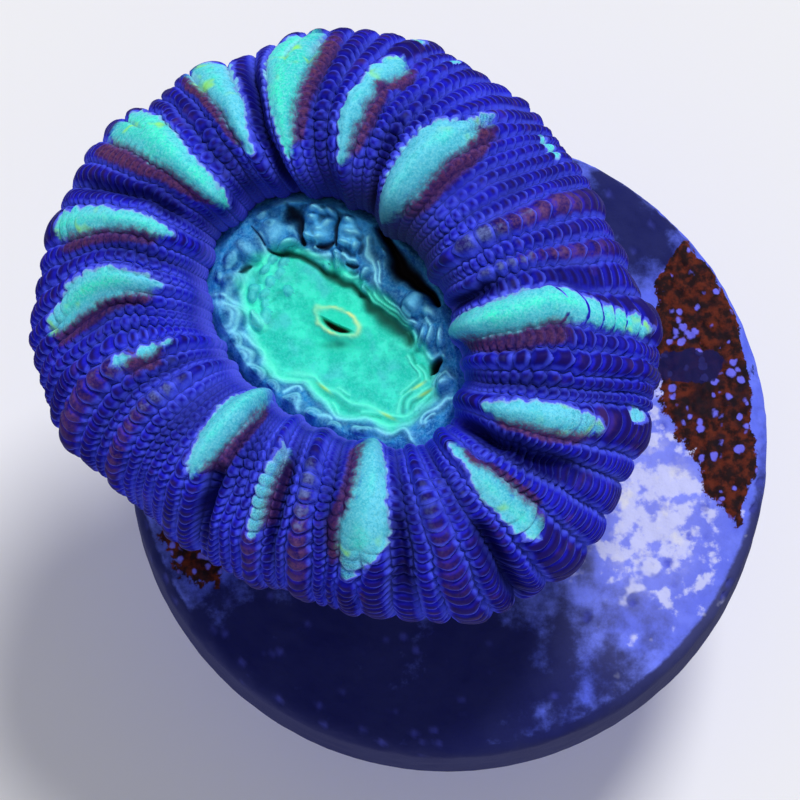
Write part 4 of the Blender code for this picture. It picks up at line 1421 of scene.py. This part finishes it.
# ---------------------------------------------------------------------------
# Frag plug: a cast ceramic disc on a peg, its top rough and grown over in places
# ---------------------------------------------------------------------------
PLUG_COLUMNS = 440
PEG_LENGTH = 12.0 * MM
PEG_FOOT_RADIUS = 4.8 * MM
PEG_ROOT_RADIUS = 5.4 * MM
PEG_ROOT_FILLET = 0.5 * MM
PEG_CHAMFER = 0.4 * MM
TOP_BEVEL = 0.8 * MM
LOWER_CHAMFER = 0.4 * MM
HIDDEN_RADIUS = 7.0 * MM  # of the top, under the coral
CENTRE_HOLE = 0.05 * MM  # radius of the small faces that close the top and the foot
# Growths on the disc, and stains that are partly painted shadow: middle x and y, half sizes along and across
# in mm, turn in degrees
CRUSTS = [(-10.1, -4.5, 1.6, 0.8, 120)]
# Stains that are partly painted shadow: the coral's shadow over the south of the disc, and the dark at its
# north east
STAINS_AND_SHADOWS = [(7.0, 8.8, 4.0, 3.0, 130), (-4.6, -9.6, 11.0, 6.6, 158), (1.0, -9.4, 7.8, 7.0, 0)]
# A crust along the disc's edge: heading, inner radius in mm
CRUST_BAND = [(-21, 12.4), (-17, 11.5), (-12, 10.4), (-6, 9.6), (0, 9.0), (10, 8.5), (22, 8.6),
              (30, 9.3), (38, 10.2), (41, 12.8)]
CRUST_EDGE = 12.1  # mm, its outer radius
NAVY_GAP = (9.7, 2.9, 1.7, 0.6)  # x, y and half sizes in mm of a dark navy strip across the crust
CREAM_SPOT = (7.9, -2.9, 2.9, 4.4)  # x, y and half sizes in mm
# Painted shade on the disc's side that faces away from the key light
SIDE_SHADE = (-95.0, 60.0, 105.0)  # its heading, and how far round it stays whole and reaches


def line_points(start, end, count):
    """Points along a straight line, without its start."""
    share = np.linspace(0.0, 1.0, count + 1)[1:, None]
    return np.array(start) * (1 - share) + np.array(end) * share


def arc_points(centre, radius, start, end, count):
    """Points along an arc between two angles, without its start."""
    angle = np.linspace(start, end, count + 1)[1:]
    return np.array(centre) + radius * np.stack([np.cos(angle), np.sin(angle)], -1)


def plug_profile():
    """Radius and height of each ring, from the middle of the top down to the middle of the foot."""
    rim = PLUG_RADIUS - TOP_BEVEL
    lower_rim = (PLUG_RADIUS - LOWER_CHAMFER, PEG_LENGTH)
    side_low = (PLUG_RADIUS, PEG_LENGTH + LOWER_CHAMFER)
    fillet_centre = (PEG_ROOT_RADIUS + PEG_ROOT_FILLET, PEG_LENGTH - PEG_ROOT_FILLET)
    peg_low = (PEG_FOOT_RADIUS, PEG_CHAMFER)
    foot_edge = (PEG_FOOT_RADIUS - PEG_CHAMFER, 0.0)
    return np.concatenate([
        [(CENTRE_HOLE, PLUG_TOP)],
        line_points((CENTRE_HOLE, PLUG_TOP), (HIDDEN_RADIUS, PLUG_TOP), 9),
        line_points((HIDDEN_RADIUS, PLUG_TOP), (rim, PLUG_TOP), 63),
        arc_points((rim, PLUG_TOP - TOP_BEVEL), TOP_BEVEL, pi / 2, 0.0, 9),
        line_points((PLUG_RADIUS, PLUG_TOP - TOP_BEVEL), side_low, 26),
        line_points(side_low, lower_rim, 4),
        line_points(lower_rim, (fillet_centre[0], PEG_LENGTH), 14),
        arc_points(fillet_centre, PEG_ROOT_FILLET, pi / 2, pi, 5),
        line_points((PEG_ROOT_RADIUS, fillet_centre[1]), peg_low, 34),
        line_points(peg_low, foot_edge, 4),
        line_points(foot_edge, (CENTRE_HOLE, 0.0), 8),
    ])


def patch_cover(points, patches, seed):
    """How far patches of growth, stain and painted shadow cover the plug: 0 at their ragged edges, rising to
    about 1 inside.
    """
    cover = np.full(points.shape[:-1], -1.0)
    for x, y, half_long, half_short, turn in patches:
        offset = points / MM - (x, y, 0.0)
        along, across = turned(offset[..., 0], offset[..., 1], radians(turn))
        cover = np.maximum(cover, 1.0 - np.hypot(along / half_long, across / half_short))
    cover += 0.3 * layered_noise(points, 0.9 * MM, seed)
    return cover - 2.0 * (1.0 - smooth(points[..., 2], PLUG_TOP - 1.2 * MM, PLUG_TOP - 0.3 * MM))


def edge_crust(points, reach, heading):
    """The crust along the disc's edge: above 0 where it grows."""
    headings, radii = np.array(CRUST_BAND).T
    inner = np.interp(heading, headings, radii, left=13, right=13)
    outer = CRUST_EDGE + 0.5 * smooth(heading, 8.0, 26.0)
    crust = np.minimum((reach - inner) / 0.7, (outer - reach) / 0.4)
    return crust + 0.5 * layered_noise(points, 1.1 * MM, SEED + 86)


def side_shade(points, reach, heading):
    """Painted shade on the disc's side that faces away from the key light, 0 to 1, with a wavy lower edge.
    """
    wavy_height = points[..., 2] + 1.0 * MM * layered_noise(points, 1.8 * MM, SEED + 88)
    stain_and_shade = smooth(wavy_height, 10.4 * MM, 12.8 * MM) * smooth(reach, 12.1, 12.5)
    return stain_and_shade * (1.0 - smooth(np.abs(wrapped(heading - SIDE_SHADE[0])), *SIDE_SHADE[1:]))


def paint_plug(points, on_top):
    """What grows, lies and is worn into the plug's surface, and the painted shadow and shade on it."""
    x, y = points[..., 0] / MM, points[..., 1] / MM
    reach = np.hypot(x, y)
    heading = wrapped(np.degrees(np.arctan2(y, x)))
    cover = patch_cover(points, CRUSTS, SEED + 80)
    cover = np.where(on_top > 0.5, np.maximum(cover, edge_crust(points, reach, heading)), cover)
    stain_and_shade = np.maximum(patch_cover(points, STAINS_AND_SHADOWS, SEED + 84), side_shade(points, reach, heading))
    pits, number = cell_knobs(points, 0.75 * MM, SEED + 81)
    pit = (1 - smooth(pits, 0.12, 0.34)) * (number > 0.1)
    gap = np.hypot((x - NAVY_GAP[0]) / NAVY_GAP[2], (y - NAVY_GAP[1]) / NAVY_GAP[3])
    gap = 1.0 - smooth(gap + 0.8 * layered_noise(points, 0.8 * MM, SEED + 87), 0.6, 1.4)
    cream = np.hypot((x - CREAM_SPOT[0]) / CREAM_SPOT[2], (y - CREAM_SPOT[1]) / CREAM_SPOT[3])
    return {
        "cover": cover,
        "stain_and_shade": stain_and_shade,
        "pit": pit * on_top,
        "gap": gap * on_top,
        "cream": bump(cream, 1.0) * on_top,
    }


def make_plug(material):
    profile = plug_profile()
    angle = np.arange(PLUG_COLUMNS) * 2 * pi / PLUG_COLUMNS
    points = profile[:, None, :1] * around(angle) + profile[:, None, 1:] * UP
    on_top = smooth(points[..., 2], PLUG_TOP - 1.0 * MM, PLUG_TOP - 0.1 * MM)
    fields = paint_plug(points, on_top)
    grown = smooth(fields["cover"], 0.0, 0.5)
    right_side = smooth(points[..., 0], -2 * MM, 6 * MM)
    grit = dome(cell_knobs(points, 0.4 * MM, SEED + 85)[0] / 0.75)
    raised = -0.12 + 0.05 * (0.4 + on_top) * layered_noise(points, 0.7 * MM, SEED + 83)
    raised -= 0.22 * fields["pit"] * (0.3 + 0.7 * right_side) * (1 - grown)
    raised += 0.14 * grit * grown
    foot = points[..., 2] < 0.01 * MM
    raised = np.where(foot, 0.0, np.minimum(raised, 0.05))
    points = points + grid_normals(points) * (raised * MM)[..., None]
    points[..., 2] = np.maximum(points[..., 2], 0.0)
    return make_mesh("frag_plug_cast", points, material, fields, caps=2)


def ceramic_material():
    shader = Shader("ceramic", 0.8, 0.16)
    speck = shader.noise(0.28 * MM, 3, 0.65) - 0.5
    broad = shader.step(shader.noise(2.5 * MM, 4, 0.6), 0.35, 0.65)
    colour = shader.mix(broad, srgb(84, 102, 232), srgb(112, 130, 254))
    stain_and_shade = speck * 0.5 + shader.attribute("stain_and_shade")
    # Stains that are partly painted shadow, and painted shade on the disc's side
    colour = shader.mix(shader.step(stain_and_shade, -0.05, 0.55, 0.0, 0.94), colour, srgb(10, 12, 70))
    cream = shader.attribute("cream")
    blotch = cream * 0.34 + shader.noise(0.62 * MM, 2, 0.4) - shader.step(stain_and_shade, -0.2, 0.1) * 0.2
    blotch = shader.step(blotch, 0.52, 0.7) * shader.step(cream, 0.0, 0.25, 0.0, 0.85)
    colour = shader.mix(cream * 0.45, colour, srgb(168, 174, 250))
    colour = shader.mix(blotch, colour, srgb(206, 210, 248))
    warm = shader.step(shader.noise(0.9 * MM), 0.5, 0.65) * shader.step(cream, 0.5, 1.0)
    colour = shader.mix(warm * 0.6, colour, srgb(232, 230, 222))
    colour = shader.mix(shader.attribute("pit") * 0.6, colour, srgb(74, 80, 190))

    cover = speck * 1.5 + shader.attribute("cover")
    brown = shader.step(shader.noise(0.4 * MM, 3, 0.6), 0.38, 0.66)
    brown = shader.mix(brown, srgb(30, 11, 16), srgb(94, 36, 22))
    black = shader.step(shader.noise(1.3 * MM, 2), 0.5, 0.66, 0.0, 0.8)
    brown = shader.mix(black, brown, srgb(20, 12, 26))
    colour = shader.mix(shader.step(cover, -0.05, 0.15), colour, brown)
    dots = speck * 0.3 + (shader.spots(0.5 * MM) - shader.noise(0.7 * MM, 2, 0.6) * 0.9)
    dots = shader.step(dots, -0.26, -0.1, 1.0, 0.0) * shader.step(cover, -0.1, 0.2)
    colour = shader.mix(dots * 0.9, colour, srgb(112, 112, 244))
    navy_strip = speck * 1.2 + shader.attribute("gap")
    colour = shader.mix(shader.step(navy_strip, 0.35, 0.65, 0.0, 0.92), colour, srgb(18, 17, 74))
    return shader.finish(colour, dots * 0.8 + shader.noise(0.16 * MM, 4, 0.7), 0.05 * MM, 0.6)


# ---------------------------------------------------------------------------
# Stage, lights and camera
# ---------------------------------------------------------------------------
CAMERA_TARGET = np.array([-1.88, 1.55, 16.5]) * MM
CAMERA_DISTANCE = 260 * MM
CAMERA_ELEVATION = radians(78)
CAMERA_LENS = 297.5
CAMERA_SENSOR = 36.0
CAMERA_RANGE = (0.01, 20.0)
SUN_STRENGTH = 2.2
SUN_ANGLE = radians(14)
SUN_DIRECTION = (-0.2, -0.38, -1.0)
WORLD_STRENGTH = 0.44
WORLD_SEEN_AS = 0.9  # strength where the camera sees it
FLOOR_SIZE = 4.0


def make_camera():
    data = bpy.data.cameras.new("camera")
    data.lens = CAMERA_LENS
    data.sensor_width = CAMERA_SENSOR
    data.clip_start, data.clip_end = CAMERA_RANGE
    camera = bpy.data.objects.new("camera", data)
    away = np.array([0.0, -cos(CAMERA_ELEVATION), sin(CAMERA_ELEVATION)])
    camera.location = CAMERA_TARGET + CAMERA_DISTANCE * away
    camera.rotation_euler = Vector(-away).to_track_quat("-Z", "Y").to_euler()
    bpy.context.scene.collection.objects.link(camera)
    bpy.context.scene.camera = camera


def make_lights():
    key = bpy.data.lights.new("key", "SUN")
    key.energy = SUN_STRENGTH
    key.angle = SUN_ANGLE
    lamp = bpy.data.objects.new("key", key)
    lamp.rotation_euler = Vector(SUN_DIRECTION).to_track_quat("-Z", "Y").to_euler()
    bpy.context.scene.collection.objects.link(lamp)

    world = bpy.data.worlds.new("studio")
    world.use_nodes = True
    tree = world.node_tree
    background = tree.nodes["Background"]
    background.inputs["Color"].default_value = (1.0, 1.0, 1.0, 1.0)
    seen = tree.nodes.new("ShaderNodeLightPath")
    strength = tree.nodes.new("ShaderNodeMapRange")
    strength.inputs["To Min"].default_value = WORLD_STRENGTH
    strength.inputs["To Max"].default_value = WORLD_SEEN_AS
    tree.links.new(seen.outputs["Is Camera Ray"], strength.inputs["Value"])
    tree.links.new(strength.outputs[0], background.inputs["Strength"])
    bpy.context.scene.world = world


def make_floor():
    bpy.ops.mesh.primitive_plane_add(size=FLOOR_SIZE, location=(0, 0, 0))
    floor = bpy.context.object
    floor.name = "floor"
    shader = Shader("floor", 0.9)
    colour = shader.mix(shader.noise(0.4, 2), (0.8, 0.8, 0.81, 1.0), (0.84, 0.84, 0.85, 1.0))
    floor.data.materials.append(shader.finish(colour))


def build():
    make_camera()
    make_lights()
    make_floor()
    flesh = flesh_material()
    pieces = [(piece, "flesh", "coral") for piece in make_mantle(flesh)]
    pieces.append((make_oral_disc(oral_material()), "flesh", "coral"))
    pieces.append((make_stem(skeleton_material()), "skeleton", "coral"))
    pieces.append((make_glue(glue_material()), "glue", "glue_collar"))
    pieces.append((make_plug(ceramic_material()), "ceramic", "frag_plug"))
    for piece, slot, node in pieces:
        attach(piece, "root")
        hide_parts(node)


bpy.context.scene.view_settings.view_transform = "Standard"
build()
